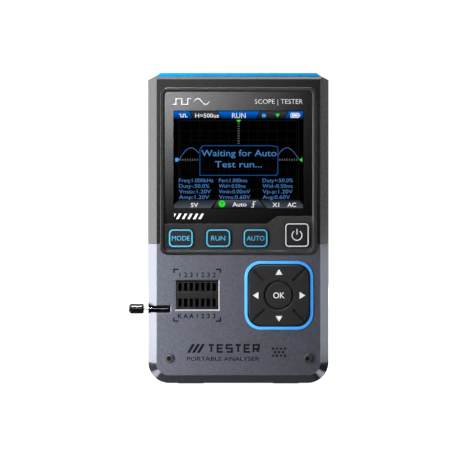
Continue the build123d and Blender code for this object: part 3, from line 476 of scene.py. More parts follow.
def make_camera():
    """Camera square to the front face, aimed at the middle of the object with its lever."""
    middle = (cad_box[0] + cad_box[1]) / 2
    camera = bpy.data.cameras.new("camera")
    camera.lens = LENS_MM
    camera.sensor_width = SENSOR_MM
    holder = bpy.data.objects.new("camera", camera)
    distance = PICTURE_WIDTH * LENS_MM / SENSOR_MM
    holder.location = (middle.x + AIM_RIGHT, FACE_Y - distance, middle.z + AIM_UP)
    holder.rotation_euler = (math.pi / 2, 0.0, 0.0)
    bpy.context.scene.collection.objects.link(holder)
    bpy.context.scene.camera = holder


def soft_light(name, place, size, power, target=(0.0, 0.0, 0.07)):
    """Rectangular soft light aimed at the object."""
    light = bpy.data.lights.new(name, "AREA")
    light.shape = "RECTANGLE"
    light.size, light.size_y = size
    light.energy = power
    holder = bpy.data.objects.new(name, light)
    holder.location = place
    aim = Vector(target) - Vector(place)
    holder.rotation_euler = aim.to_track_quat("-Z", "Y").to_euler()
    holder.visible_camera = False
    bpy.context.scene.collection.objects.link(holder)
    return holder


def make_world():
    """Dim surroundings, darker below."""
    world = bpy.data.worlds.new("studio")
    bpy.context.scene.world = world
    world.use_nodes = True
    nodes, links = world.node_tree.nodes, world.node_tree.links
    background = nodes["Background"]
    background.inputs["Color"].default_value = (1.0, 1.0, 1.0, 1.0)
    coordinates = nodes.new("ShaderNodeTexCoord")
    split = nodes.new("ShaderNodeSeparateXYZ")
    rising = nodes.new("ShaderNodeMapRange")
    rising.interpolation_type = "SMOOTHSTEP"
    for end, height, strength in (("Min", -0.75, 0.025), ("Max", 0.35, 0.06)):
        rising.inputs["From " + end].default_value = height
        rising.inputs["To " + end].default_value = strength
    links.new(coordinates.outputs["Generated"], split.inputs["Vector"])
    links.new(split.outputs["Z"], rising.inputs["Value"])
    links.new(rising.outputs["Result"], background.inputs["Strength"])


def scenery(name, mesh, material, unseen_by):
    """An object that isn't part of the tester, unseen by some kinds of light ray."""
    data = bpy.data.meshes.new(name)
    mesh.to_mesh(data)
    mesh.free()
    data.materials.append(material)
    made = bpy.data.objects.new(name, data)
    for ray in unseen_by:
        setattr(made, "visible_" + ray, False)
    bpy.context.scene.collection.objects.link(made)
    return made


def make_stage():
    """Pale floor that curves up into a round wall, so that no horizon shows from any side."""
    floor_r, wall_r, height, turns, bend_steps = 1.1, 1.6, 1.4, 96, 12
    bend_r = wall_r - floor_r
    bends = [math.radians(90 * i / bend_steps) for i in range(bend_steps + 1)]
    profile = [(floor_r / 2, 0.0)]
    profile += [(floor_r + bend_r * math.sin(a), bend_r * (1 - math.cos(a))) for a in bends]
    profile.append((wall_r, height))
    mesh = bmesh.new()
    rings = []
    for radius, z in profile:
        steps = [2 * math.pi * k / turns for k in range(turns)]
        rings.append([mesh.verts.new((radius * math.cos(a), radius * math.sin(a), z)) for a in steps])
    mesh.faces.new(rings[0])
    for inner, outer in zip(rings, rings[1:]):
        for k in range(turns):
            n = (k + 1) % turns
            mesh.faces.new((inner[k], outer[k], outer[n], inner[n]))
    shader = Shader("stage_paper", (0.35, 0.35, 0.35), 0.9)
    shader.set("Emission Color", (1.0, 1.0, 1.0, 1.0))
    shader.set("Emission Strength", 0.97)
    stage = scenery("stage", mesh, shader.material, ("glossy", "diffuse", "transmission", "shadow"))
    stage.data.polygons.foreach_set("use_smooth", [True] * len(stage.data.polygons))


def make_reflector():
    """Card behind the camera that only gloss sees: pale at its upper left, dark elsewhere."""
    card_y = FACE_Y - 0.92
    left, right, low, high = -0.17, 0.15, -0.05, 0.31
    fade_across, fade_up = (-0.082, 0.136), (0.063, 0.217)
    mesh = bmesh.new()
    corners = ((left, low), (right, low), (right, high), (left, high))
    mesh.faces.new([mesh.verts.new((x, card_y, z)) for x, z in corners])
    shader = Shader("reflector_cloth", (0.0, 0.0, 0.0), 1.0)
    shader.set("Specular IOR Level", 0.0)
    across = shader.spread(shader.axes()["X"], 1.0, 0.0, fade_across)
    up = shader.along("Z", *fade_up)
    both = shader.calculate("MULTIPLY", across, up)
    falloff = shader.calculate("MULTIPLY", both, both)
    shader.feed(shader.blend(falloff, (0.006, 0.006, 0.0065), (1.0, 1.0, 1.02)), "Emission Color")
    shader.set("Emission Strength", 5.2)
    scenery("reflector", mesh, shader.material, ("camera", "diffuse", "shadow", "transmission"))


def make_lights():
    """Lights round the tester. Two of them give no gloss, and the spark gives nothing but gloss.

    The key strip shades the front from left to right. The soft boxes and the right strip stand where
    the bevels mirror them, and the four accents where the bevel's round corners do. The spark catches
    the rounded edges of the trim, and the top and back soft boxes light the other sides."""
    key = soft_light("key_strip", (-0.088, -0.068, 0.048), (0.03, 0.26), 0.26, (0.0, -0.012, 0.048))
    soft_light("left_softbox", (-0.60, 0.08, 0.20), (0.34, 0.56), 4.4, (0.0, 0.0, 0.12))
    soft_light("right_softbox", (0.60, 0.26, 0.17), (0.34, 0.50), 2.4, (0.0, 0.0, 0.10))
    soft_light("right_strip", (0.16, -0.010, 0.030), (0.05, 0.066), 0.0185, (0.0, -0.010, 0.030))
    soft_light("under_softbox", (0.0, 0.04, -0.40), (0.5, 0.2), 0.060, (0.0, 0.04, 0.0))
    spark = soft_light("edge_spark", (-0.14, -0.42, 0.62), (0.10, 0.10), 4.8, (0.0, -0.012, 0.13))
    soft_light("top_softbox", (0.0, 0.05, 0.75), (0.6, 0.3), 3.2)
    back = soft_light("back_softbox", (0.25, 0.85, 0.45), (0.6, 0.6), 10.0)
    for light in (key, back):
        light.visible_glossy = False
    spark.visible_diffuse = False
    accents = (
        ("accent_upper_left", -0.42, 0.49, 0.50),
        ("accent_upper_right", 0.42, 0.49, 0.25),
        ("accent_lower_left", -0.42, -0.35, 0.36),
        ("accent_lower_right", 0.42, -0.35, 0.22),
    )
    for name, x, z, power in accents:
        soft_light(name, (x, 0.04, z), (0.16, 0.16), power)


bpy.context.scene.view_settings.view_transform = "Standard"
make_camera()
make_world()
make_stage()
make_reflector()
make_lights()

# ---------------------------------------------------------------------------------------------
# Finishes of the CAD nodes
# ---------------------------------------------------------------------------------------------


def screw_steel(node, inward):
    """Dark bronze screw, with painted shade in its recess and round its head; inward is 1 or -1 along Y."""
    low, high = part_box(node)
    top = low.y if inward > 0 else high.y
    head, recess = (0.165, 0.164, 0.172), (0.040, 0.040, 0.037)
    shader = Shader("bronze_" + node, head, 0.35, 0.5)
    lines = shader.noise(0.3, 3.0)
    # painted shade: darker behind the head's front, in the recess and round the head's edge
    shaded_depth = shader.along("Y", top + inward * 0.10 * MM, top + inward * 0.22 * MM)
    shader.feed(shader.blend(shaded_depth, head, recess), "Base Color")
    shader.feed(shader.spread(lines, 0.28, 0.42), "Roughness")
    shader.bump(lines, 0.004 * MM, 0.4, 0.06 * MM)
    return shader.material


def back_print():
    """Smooth black print on the back of the window."""
    darker, paler = (0.0058, 0.0058, 0.0066), (0.0062, 0.0062, 0.007)
    shader = Shader("mask_black", paler, 0.07)
    shader.set("Specular IOR Level", 0.82)
    tone = shader.spread(shader.noise(30.0, 1.0), 0.0, 1.0)
    shader.feed(shader.blend(tone, darker, paler), "Base Color")
    return shader.material


def bezel_black():
    """Finely moulded plastic with rounded edges, with painted light that makes it a little paler towards its
    right side.
    """
    low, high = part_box("bezel")
    left, right = (0.011, 0.011, 0.012), (0.066, 0.066, 0.068)
    shader = Shader("bezel_black", left, 0.30)
    shader.set("Specular IOR Level", 0.5)
    # painted light: colour ramps from dark at the left to paler at the right, as if lit from the right
    shader.feed(shader.blend(shader.along("X", low.x, high.x), left, right), "Base Color")
    grain = shader.noise(0.42, 2.0)
    shader.feed(shader.spread(grain, 0.25, 0.35), "Roughness")
    shader.bump(grain, 0.004 * MM, 0.6, 0.45 * MM)
    return shader.material


def cap_blue():
    """Bright cyan-blue translucent plastic, with a faint painted glow that lifts its brightness."""
    deeper, paler = (0.009, 0.39, 0.86), (0.011, 0.43, 0.92)
    shader = Shader("cap_blue", paler, 0.5)
    shader.set("Specular IOR Level", 0.0)
    patches = shader.spread(shader.noise(9.0, 3.0), 0.0, 1.0)
    # painted glow: the plastic's colour also feeds a faint emission
    shader.feed(shader.blend(patches, deeper, paler), "Base Color", "Emission Color")
    shader.set("Emission Strength", 0.04)
    shader.bump(shader.noise(0.4, 2.0), 0.006 * MM, 0.5, 0.12 * MM)
    return shader.material


def cover_areas():
    """Places on the lower cover that aren't plain paint, as boxes with a finish of their own.

    They are the polished bevel, the bare lip round the test socket, and painted shade that makes the
    insides of the lever's slot and of the sounder's grille near black. Later ones win."""
    low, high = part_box("lower_cover")
    face, back = low.y, high.y
    below_face = face + 0.03 * MM
    polished = ((0.110, 0.115, 0.136), 0.19, 0.82)
    bright = ((0.40, 0.40, 0.42), 0.28, 1.0)
    # painted shade: near-black colour inside the lever's slot and the grille, where shade falls
    dark = ((0.003, 0.003, 0.0035), 0.8, 1.0)
    bevel_start, bevel_end = face + 0.10 * MM, face + 4.0 * MM
    around = 10 * MM

    socket_low, socket_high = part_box("zif_contacts")
    socket_x, socket_z = (socket_low.x + socket_high.x) / 2, (socket_low.z + socket_high.z) / 2
    lip_x, lip_z, lip_depth = 10.1 * MM, 7.2 * MM, 0.62 * MM

    knob_low, knob_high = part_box("zif_knob")
    slot_z, slot_half, slot_end = (knob_low.z + knob_high.z) / 2, 1.47 * MM, -30.3 * MM

    sound_low, sound_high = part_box("sounder")
    spare = 2 * MM
    return (
        ((low.x - around, bevel_start, low.z - around),
         (high.x + around, bevel_end, high.z + around), *polished),
        ((socket_x - lip_x, below_face, socket_z - lip_z),
         (socket_x + lip_x, face + lip_depth, socket_z + lip_z), *bright),
        ((low.x - around, face - spare, slot_z - slot_half), (slot_end, back, slot_z + slot_half), *dark),
        ((sound_low.x - spare, below_face, sound_low.z - spare),
         (sound_high.x + spare, back, sound_high.z + spare), *dark),
    )


dress("upper_cover rear_cover", moulded("case_black", (0.0065, 0.0065, 0.0071), 0.28, specular=0.48))
dress("lower_cover", flake_paint("case_grey", (0.172, 0.180, 0.226), 0.32, 0.30, cover_areas()))
dress("bezel", bezel_black())
dress("mode_key run_key auto_key power_key", rubbery("key_black", (0.012, 0.012, 0.0155), 0.55))
dress("rocker ok_key", rubbery("pad_black", (0.028, 0.028, 0.030), 0.50, edge=0.35))
dress("gimbal_ring dpad_pedestal", rubbery("silicone_grey", (0.35, 0.35, 0.35), 0.6))
dress("mode_plunger run_plunger auto_plunger power_plunger ok_plunger rocker_plungers",
      moulded("plunger_black", (0.02, 0.02, 0.02), 0.4))
dress("switch_bodies usb_shell shield_can", brushed("tinned_steel", (0.62, 0.62, 0.63), 0.30))
dress("lens_mask", back_print())
dress("display_gasket display_foam", rubbery("foam_black", (0.02, 0.02, 0.02), 0.9, grain=0.5, depth=0.05))
dress("lcd_panel", moulded("display_glass", (0.0006, 0.0006, 0.0008), 0.6, grain=2.0, depth=0.0005,
                           specular=0.0, cloud=0.04, edge=0.0))
dress("lcd_backlight", moulded("tray_white", (0.7, 0.7, 0.7), 0.5))
dress("lcd_ribbon", brushed("flex_copper", (0.55, 0.27, 0.08), 0.35))
dress("lcd_connector battery_socket battery_plug", moulded("connector_cream", (0.72, 0.69, 0.62), 0.5))
dress("probe_insulator generator_insulator", moulded("insulator_white", (0.75, 0.75, 0.74), 0.45))
dress("zif_base zif_slider", moulded("socket_dark", (0.003, 0.003, 0.0035), 0.7, specular=0.2))
dress("zif_cover", moulded("socket_black", (0.014, 0.0132, 0.0150), 0.5, grain=0.3))
dress("probe_jack generator_jack probe_contact generator_contact",
      brushed("gold_plate", (0.80, 0.55, 0.22), 0.25))
# painted shade: the gold contacts are made near black, as they sit in shade deep in the socket's slots
dress("zif_contacts", brushed("gold_in_painted_shade", (0.022, 0.016, 0.009), 0.65))
dress("zif_cam zif_lever", brushed("bright_steel", (0.78, 0.78, 0.80), 0.16, stretch=(1.0, 1.0, 1.0)))
dress("zif_knob", moulded("knob_black", (0.004, 0.004, 0.005), 0.11, grain=0.6, depth=0.004,
                          specular=0.55, edge=0.25))
dress("main_board", moulded("board_black", (0.005, 0.011, 0.008), 0.4))
dress("main_chip board_chips sounder usb_tongue", moulded("chip_black", (0.016, 0.016, 0.017), 0.5))
dress("battery", brushed("cell_foil", (0.60, 0.61, 0.63), 0.32))
dress("battery_tape", rubbery("tape_white", (0.7, 0.7, 0.68), 0.8, grain=0.4, depth=0.03))
dress("battery_lead_red", moulded("lead_red", (0.40, 0.015, 0.012), 0.4))
dress("battery_lead_black", moulded("lead_black", (0.015, 0.015, 0.015), 0.4))
dress("top_end_cap", cap_blue())
dress("front_screws", screw_steel("front_screws", 1))
dress("rear_screws", screw_steel("rear_screws", -1))
dress("bottom_feet", rubbery("foot_rubber", (0.055, 0.055, 0.058), 0.7))
dress("rear_label", moulded("label_film", (0.42, 0.43, 0.45), 0.4, grain=0.8, depth=0.003))


def clear_window():
    """Clear acrylic: invisible face on, glossy at a glance."""
    shader = Shader("window_clear", (0.02, 0.02, 0.022), 0.06)
    shader.set("IOR", 1.47)
    gloss = shader.node("ShaderNodeLayerWeight")
    gloss.inputs["Blend"].default_value = 0.5
    shader.feed(shader.spread(gloss.outputs["Facing"], 0.0, 0.6, (0.42, 1.0)), "Alpha")
    smears = shader.noise(14.0, 2.0)
    shader.feed(shader.spread(smears, 0.05, 0.08), "Roughness")
    return shader.material


def ring_blue():
    """Translucent blue trim with a painted glow, paler at its left side as painted light and darker over its
    rounded rim as painted shade.
    """
    low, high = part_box("dpad_ring")
    left, right, rim = display_colour(92, 190, 255), display_colour(64, 158, 250), (0.015, 0.09, 0.28)
    shader = Shader("ring_blue", left, 0.3)
    # painted light: paler at the left, deeper blue at the right
    tone = shader.blend(shader.along("X", low.x, high.x), left, right)
    # painted shade: darker over the rounded rim behind the front face
    below_face = shader.along("Y", low.y + 0.02 * MM, low.y + 0.14 * MM)
    # painted glow: the same colour also feeds the emission
    shader.feed(shader.blend(below_face, tone, rim), "Base Color", "Emission Color")
    shader.set("Emission Strength", 0.56)
    shader.bump(shader.noise(0.4, 2.0), 0.004 * MM, 0.4, 0.12 * MM)
    return shader.material


def inset_window():
    """Draws the window in by a hair all over, clear of the print and the bezel that it touches."""
    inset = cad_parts["lens"].modifiers.new("inset", "DISPLACE")
    inset.mid_level = 0.0
    inset.strength = -0.02 * MM


dress("lens", clear_window())
dress("dpad_ring", ring_blue())
inset_window()

# ---------------------------------------------------------------------------------------------
# Printed legends
# ---------------------------------------------------------------------------------------------

# The white, pale and cyan inks carry a painted glow that lifts their brightness; the dark ink has none.
WHITE = ink("ink_white", display_colour(238, 238, 238), 0.5, glow=0.44)
SOFT_WHITE = ink("ink_soft_white", display_colour(222, 222, 226), 0.5, glow=0.55)
DARK_INK = ink("ink_dark", display_colour(24, 25, 30), 0.75, specular=0.15)
KEY_CYAN = ink("ink_cyan", display_colour(70, 176, 212), 0.45, glow=0.42)
KEY_GREY = ink("ink_pale", display_colour(212, 212, 220), 0.45, glow=0.52)


def middle_mm(node):
    """Centre of a node in front view, in millimetres."""
    low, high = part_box(node)
    return (low.x + high.x) / 2 / MM, (low.z + high.z) / 2 / MM


def front_of(node):
    """Place of a node's front along Y, in metres."""
    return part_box(node)[0].y


# Outlines follow the keys' own edges at this distance. Width, height and corner radius are the keys'.
KEY_MARGIN = 0.32
KEY_W, KEY_H, KEY_R, KEY_LINE = 11.2, 8.4, 2.3, 0.55
POWER_W, POWER_R, POWER_LINE = 11.05, 1.9, 0.48


def key_print(key, words, width):
    """Outline and word on a fascia key."""
    node = key + "_key"
    x, z = middle_mm(node)
    legend = Print(key + "_legend", node, KEY_CYAN, "key_black", front_of(node))
    legend.border(x, z, KEY_W - 2 * KEY_MARGIN, KEY_H - 2 * KEY_MARGIN, KEY_R - KEY_MARGIN, KEY_LINE)
    legend.text(words, x, z, cap=2.05, width=width)
    legend.done()


def power_print():
    """Pale outline and the power symbol."""
    x, z = middle_mm("power_key")
    side, radius, stroke = POWER_W - 2 * KEY_MARGIN, 2.2, 0.42
    rim = Print("power_outline", "power_key", KEY_GREY, "key_black", front_of("power_key"))
    rim.border(x, z, side, side, POWER_R - KEY_MARGIN, POWER_LINE)
    rim.done()
    symbol = Print("power_symbol", "power_key", SOFT_WHITE, "key_black", front_of("power_key"))
    symbol.line(arc(x, z - 0.1, radius, 125, 415, 28), stroke)
    symbol.bar(x - stroke / 2, x + stroke / 2, z + 0.2, z + 2.75)
    symbol.done()


def pad_print():
    """Four arrows on the rocker and the word on its middle key."""
    centre = Vector(middle_mm("ok_key"))
    arrows = Print("pad_arrows", "rocker", WHITE, "rocker_black", front_of("rocker"))
    reach, half_base, half_depth = 10.4, 1.55, 1.25
    for turn in range(4):
        angle = math.radians(90 * turn)
        out = Vector((math.cos(angle), math.sin(angle)))
        side = Vector((-out.y, out.x)) * half_base
        tip, base = centre + out * (reach + half_depth), centre + out * (reach - half_depth)
        arrows.sheet([tip, base + side, base - side])
    arrows.done()
    word = Print("ok_legend", "ok_key", WHITE, "rocker_black", front_of("ok_key"))
    word.text("OK", *centre, cap=2.55, width=5.1, weight=0.008)
    word.done()


def socket_print():
    """Pin numbers and corner brackets round the test socket."""
    low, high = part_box("zif_contacts")
    contact_half = 0.125
    first, last = low.x / MM + contact_half, high.x / MM - contact_half
    x, z = middle_mm("zif_contacts")
    z -= 0.1
    rows = (("1231232", z + 9.1), ("KAA1233", z - 9.25))
    half_w, half_h, arm_w, arm_h, stroke = 10.35, 11.5, 2.0, 1.6, 0.6
    legend = Print("socket_legend", "case", DARK_INK, "case_grey", front_of("lower_cover"))
    for words, row_z in rows:
        pitch = (last - first) / (len(words) - 1)
        for i, letter in enumerate(words):
            legend.text(letter, first + i * pitch, row_z, cap=1.95, weight=0.024)
    for sx in (-1, 1):
        for sz in (-1, 1):
            end_x, end_z = x + sx * half_w, z + sz * half_h
            legend.line([(end_x, end_z - sz * arm_h), (end_x, end_z), (end_x - sx * arm_w, end_z)], stroke)
    legend.done()


# Strokes of the square letters, in a cell 1 wide and 1 high.
LETTER_STROKES = {
    "T": (((0.0, 1.0), (1.0, 1.0)), ((0.5, 0.88), (0.5, 0.0))),
    "E": (((1.0, 1.0), (0.0, 1.0), (0.0, 0.0), (1.0, 0.0)), ((0.12, 0.5), (0.9, 0.5))),
    "S": (((1.0, 1.0), (0.0, 1.0), (0.0, 0.5), (1.0, 0.5), (1.0, 0.0), (0.0, 0.0)),),
    "R": (((0.0, 0.0), (0.0, 1.0), (1.0, 1.0), (1.0, 0.45), (0.12, 0.45)), ((0.55, 0.33), (1.0, 0.0))),
}
LETTER_GAP = 0.2


def square_letters(legend, words, x, z, width, height, stroke):
    """Words in plain square letters; x and z are at the lower left."""
    pitch = width / (len(words) - LETTER_GAP)
    wide, tall = pitch * (1 - LETTER_GAP) - stroke, height - stroke
    for i, letter in enumerate(words):
        left, low = x + i * pitch + stroke / 2, z + stroke / 2
        for path in LETTER_STROKES[letter]:
            legend.line([(left + wide * px, low + tall * pz) for px, pz in path], stroke)


def slanted_bars(legend, lefts, width, slant, low, high):
    """Bars that lean to the right, from their lower left corners."""
    for left in lefts:
        right = left + width
        legend.sheet([(left, low), (right, low), (right + slant, high), (left + slant, high)])


def name_print():
    """Slanted bars and plain descriptive words on the lower cover."""
    name = Print("name_legend", "case", DARK_INK, "case_grey", front_of("lower_cover"))
    left, low, high = -22.9, 14.3, 18.2
    slanted_bars(name, [left + i * 2.2 for i in range(3)], 1.3, 2.3, low, high)
    square_letters(name, "TESTER", -13.7, low, 23.2, high - low, 0.80)
    name.text("PORTABLE ANALYSER", left, 11.65, cap=1.75, width=32.3, weight=0.012, anchor="LEFT")
    name.done()


def window_print():
    """White marks on the window: a wave mark, plain words and slanted bars."""
    y = front_of("lens")
    mark_left, mark_z, half_h, stroke = -29.4, 126.1, 1.3, 0.42
    low, high = mark_z - half_h, mark_z + half_h
    edges, levels = (0.0, 1.6, 4.2, 6.8, 8.4), (low, high, low, high)
    square = []
    for start, end, level in zip(edges, edges[1:], levels):
        square += [(mark_left + start, level), (mark_left + end, level)]
    sine_left, sine_width, sine_steps = mark_left + 9.6, 7.0, 32
    turns = [i / sine_steps for i in range(sine_steps + 1)]
    sine = [(sine_left + sine_width * t, mark_z + half_h * math.sin(2 * math.pi * t)) for t in turns]
    marks = Print("window_legend", "case", WHITE, "window", y)
    marks.line(square, stroke)
    marks.line(sine, stroke)
    bar_left, bar_low, bar_high = -27.7, 73.85, 76.25
    slanted_bars(marks, [bar_left + i * 2.49 for i in range(5)], 1.05, 1.35, bar_low, bar_high)
    marks.sheet([(bar_left - 0.9, bar_high - 1.5), (bar_left + 0.15, bar_high), (bar_left - 0.9, bar_high)])
    marks.done()
    words = Print("window_words", "case", SOFT_WHITE, "window", y)
    words.text("SCOPE | TESTER", 28.6, mark_z, cap=2.05, width=21.3, weight=-0.004, anchor="RIGHT")
    words.done()


key_print("mode", "MODE", 8.0)
key_print("run", "RUN", 6.2)
key_print("auto", "AUTO", 7.9)
power_print()
pad_print()
socket_print()
name_print()
window_print()

# ---------------------------------------------------------------------------------------------
# Picture on the display. Shapes are placed from the display's centre, in millimetres.
# ---------------------------------------------------------------------------------------------

SCREEN_X, SCREEN_Z = middle_mm("lcd_panel")
SCREEN_Y = front_of("lcd_panel")
LAYER = 0.03 * MM
TOP, TAB_TOP = 21.6, 18.2
FOOT, FOOT_TOP = -21.6, -17.95
EDGE = 28.8


def screen(name, material, layer=1):
    """A print on the display glass; a higher layer lies in front."""
    y = SCREEN_Y - (layer - 1) * LAYER
    return Print(name, "case", material, "display", y, origin=(SCREEN_X, SCREEN_Z))


def screen_bars():
    """Blue and grey tabs along the top and grey tabs along the bottom."""
    z_top, z_tab_top, z_foot, z_foot_top = [(SCREEN_Z + z) * MM for z in (TOP, TAB_TOP, FOOT, FOOT_TOP)]
    blue = lit_ramp("screen_blue", z_tab_top, z_top, display_colour(0, 16, 42), display_colour(0, 102, 218))
    slate = lit_ramp("screen_slate", z_tab_top, z_top, display_colour(5, 7, 10), display_colour(56, 62, 70))
    falling = lit_ramp("screen_grey_low", z_foot, z_foot_top,
                       display_colour(72, 77, 86), display_colour(22, 24, 30))
    rising = lit_ramp("screen_grey_high", z_foot, z_foot_top,
                      display_colour(27, 30, 37), display_colour(76, 80, 90))
    tabs = screen("screen_tabs_blue", blue)
    tabs.sheet([(-EDGE, TOP), (-EDGE, TAB_TOP), (-20.3, TAB_TOP), (-22.0, TOP)])
    tabs.sheet([(-9.1, TOP), (-7.4, TAB_TOP), (7.6, TAB_TOP), (9.5, TOP)])
    tabs.sheet([(22.5, TOP), (20.5, TAB_TOP), (EDGE, TAB_TOP), (EDGE, TOP)])
    tabs.done()
    tabs = screen("screen_tabs_slate", slate)
    tabs.sheet([(-21.7, TOP), (-20.0, TAB_TOP), (-7.6, TAB_TOP), (-9.3, TOP)])
    tabs.sheet([(9.75, TOP), (7.9, TAB_TOP), (20.2, TAB_TOP), (22.1, TOP)])
    tabs.done()
    tabs = screen("screen_tabs_low", falling)
    shoulder = FOOT + 1.6
    tabs.sheet([(-EDGE, FOOT), (-EDGE, shoulder), (-26.6, FOOT_TOP), (-9.6, FOOT_TOP), (-12.5, FOOT)])
    tabs.sheet([(EDGE, FOOT), (12.8, FOOT), (9.5, FOOT_TOP), (27.1, FOOT_TOP), (EDGE, shoulder)])
    tabs.done()
    tabs = screen("screen_tab_middle", rising)
    tabs.sheet([(-11.5, FOOT), (12.2, FOOT), (8.8, FOOT_TOP), (-9.1, FOOT_TOP)])
    tabs.done()


def graticule():
    """Faint frame with upright and level lines, except for the two axes."""
    grid = screen("screen_grid", lit("screen_grid", display_colour(19, 19, 18)))
    x, z, width, height, stroke = 0.1, 0.1, 53.9, 35.4, 0.3
    grid.ring(rounded(x, z, width, height, 1.0), rounded(x, z, width - 2 * stroke, height - 2 * stroke, 0.7))
    half, step_x, step_z = 0.08, 4.31, 4.33
    left, right, low, high = -26.5, 26.7, -17.2, 17.4
    for i in (-6, -5, -4, -3, -2, -1, 1, 2, 3, 4, 5, 6):
        grid.bar(x + i * step_x - half, x + i * step_x + half, low, high)
    for i in (-3, -2, -1, 1, 2, 3, 4):
        grid.bar(left, right, i * step_z - half, i * step_z + half)
    grid.done()


def axes():
    """Dotted stretches of the upright and the level axis."""
    dots = screen("screen_axes", lit("screen_axis", display_colour(82, 82, 78)), 2)
    x, pitch, half_long, half_short = 0.1, 1.083, 0.45, 0.24
    for i in range(9):
        dots.spot(x, 7.4 + i * pitch, half_long, half_short)
    for side in (-1, 1):
        for i in range(8):
            dots.spot(x + side * (18.4 + i * pitch), 0.0, half_short, half_long)
    dots.done()


def trace():
    """The wave, as far as the message box leaves it in sight."""
    wave = screen("screen_wave", lit("screen_wave", display_colour(68, 96, 140)), 3)
    half_period, height, steps = 10.8, 5.35, 24
    for start, left, right in ((-26.5, -26.5, -17.7), (16.3, 17.7, 27.0)):
        places = [left + (right - left) * i / steps for i in range(steps + 1)]
        wave.line([(x, height * math.sin(math.pi * (x - start) / half_period)) for x in places], 0.28)
    wave.done()


def screen_message():
    """Message box with two lines of words."""
    box = screen("screen_box", lit("screen_box", display_colour(28, 80, 150)), 2)
    x0, x1, z0, z1, stroke = -17.35, 17.75, -7.1, 6.45, 0.28
    outer = [(x0, z0), (x1 - 0.9, z0), (x1, z0 + 0.9), (x1, z1 - 0.6), (x1 - 1.6, z1 - 0.25),
             (x1 - 3.2, z1), (x0 + 1.4, z1), (x0, z1 - 1.6)]
    middle_x, middle_z = (x0 + x1) / 2, (z0 + z1) / 2
    shrink_x, shrink_z = 1 - 2 * stroke / (x1 - x0), 1 - 2 * stroke / (z1 - z0)
    inner = [(middle_x + (x - middle_x) * shrink_x, middle_z + (z - middle_z) * shrink_z) for x, z in outer]
    box.ring(outer, inner)
    box.done()
    words = screen("screen_message", lit("screen_words", display_colour(70, 122, 180)), 3)
    words.text("Waiting for Auto", 0.2, 3.0, cap=2.75, width=33.6, weight=0.004)
    words.text("Test run...", 0.0, -2.0, cap=2.75, width=20.9, weight=0.004)
    words.done()


def screen_readouts():
    """Twelve small readouts in three columns, each with its place across and the widths of its words."""
    columns = (
        (-26.5, (("Freq:1.000kHz", 15.3), ("Duty-:50.0%", 13.4), ("Vmax:1.20V", 14.2), ("Amp:1.20V", 13.4))),
        (-8.7, (("Peri:1.000ms", 12.6), ("Wid+:0.50ms", 11.9), ("Vmin:0.00mV", 13.9), ("Vrms:0.60V", 14.0))),
        (10.8, (("Duty+:50.0%", 13.5), ("Wid-:0.50ms", 13.4), ("Vp-p:1.20V", 13.4), ("Avg:0.60V", 12.2))),
    )
    first_z, row_pitch = -9.2, 2.48
    small = screen("screen_readouts", lit("screen_small", display_colour(76, 128, 192)), 2)
    for x, rows in columns:
        for row, (words, width) in enumerate(rows):
            z = first_z - row * row_pitch
            small.text(words, x, z, cap=1.65, width=width, weight=-0.006, anchor="LEFT")
    small.done()


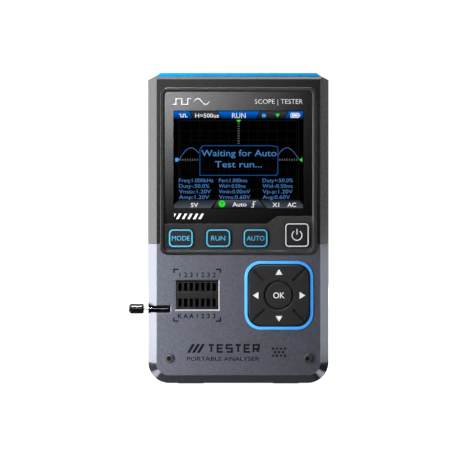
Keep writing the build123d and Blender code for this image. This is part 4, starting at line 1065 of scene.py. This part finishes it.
def white_signs():
    """White words in the tabs, with the pulse, battery and rising edge signs."""
    white = screen("screen_white", lit("screen_white", display_colour(226, 228, 232)), 2)
    words = (
        ("H=500us", -14.0, 19.75, 1.75, 10.6, 0.012),
        ("RUN", 0.2, 19.75, 2.2, 6.1, 0.0),
        ("5V", -19.6, -20.2, 1.8, 3.3, 0.018),
        ("Auto", 0.5, -19.9, 1.8, 6.3, 0.014),
        ("X1", 16.7, -20.1, 1.8, 3.0, 0.018),
        ("AC", 23.8, -20.1, 1.8, 3.9, 0.018),
    )
    for sign, x, z, cap, width, weight in words:
        white.text(sign, x, z, cap, width, weight)
    low, high, stroke = 19.15, 20.35, 0.34
    pulse = [(-26.5, high), (-25.7, high), (-25.7, low), (-24.6, low), (-24.6, high), (-23.7, high),
             (-23.7, low), (-22.7, low)]
    white.line(pulse, stroke)
    battery_x, battery_z, wall = 25.2, 19.85, 0.35
    white.ring(rounded(battery_x, battery_z, 3.9, 2.2, 0.4),
               rounded(battery_x, battery_z, 3.9 - 2 * wall, 2.2 - 2 * wall, 0.2))
    white.spot(battery_x, battery_z, 1.3, 0.55)
    white.spot(battery_x + 2.2, battery_z, 0.2, 0.4)
    x, low, high = 6.7, -21.1, -18.7
    white.line([(x - 1, low), (x, low), (x, high), (x + 1, high)], stroke)
    white.sheet([(x - 0.7, -20.0), (x + 0.7, -20.0), (x, -19.2)])
    white.done()


def coloured_signs():
    """Green and blue markers, and the letter in the green disc."""
    disc_x, disc_z, disc_r = -7.3, -19.7, 1.45
    green = screen("screen_green", lit("screen_green", display_colour(40, 226, 34)), 2)
    green.sheet([(-0.85, 17.8), (1.15, 17.8), (0.15, 16.6)])
    green.sheet([(28.5, 1.0), (28.5, -1.0), (27.2, 0.0)])
    green.sheet([(16.5, 20.5), (18.5, 20.5), (17.5, 19.0)])
    green.sheet(arc(disc_x, disc_z, disc_r, 0, 345, 23))
    green.done()
    blue = screen("screen_marks_blue", lit("screen_marks_blue", display_colour(58, 160, 245)), 2)
    blue.sheet([(-28.2, 0.85), (-27.2, 0.85), (-26.3, 0.0), (-27.2, -0.85), (-28.2, -0.85)])
    blue.sheet([(10.6, 20.5), (11.9, 20.5), (12.5, 19.75), (11.9, 19.0), (10.6, 19.0)])
    blue.done()
    dark = screen("screen_dark", lit("screen_dark", display_colour(8, 60, 12)), 3)
    dark.text("T", disc_x, disc_z, cap=1.3, width=1.2, weight=0.01)
    dark.done()


screen_bars()
graticule()
axes()
trace()
screen_message()
screen_readouts()
white_signs()
coloured_signs()

# ---------------------------------------------------------------------------------------------
# Back label
# ---------------------------------------------------------------------------------------------


def label_print():
    """Plain border, rules and slanted bars on the rear label."""
    low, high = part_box("rear_label")
    x, z = middle_mm("rear_label")
    w, h = (high.x - low.x) / MM, (high.z - low.z) / MM
    inset, left = 1.2, -w / 2 + 4.0
    marks = Print("rear_label_print", "case", DARK_INK, "label", high.y, BACK)
    marks.border(-x, z, w - 2 * inset, h - 2 * inset, 1.2, 0.35)
    rule_top, rule_pitch, rule_h = z + 8.3, 3.0, 0.8
    for i, width in enumerate((24.0, 19.2, 21.6, 14.4, 17.6)):
        top = rule_top - i * rule_pitch
        marks.bar(left, left + width, top - rule_h, top)
    slanted_bars(marks, [left + i * 2.4 for i in range(6)], 1.2, 1.4, z - 10.6, z - 8.0)
    marks.done()


label_print()
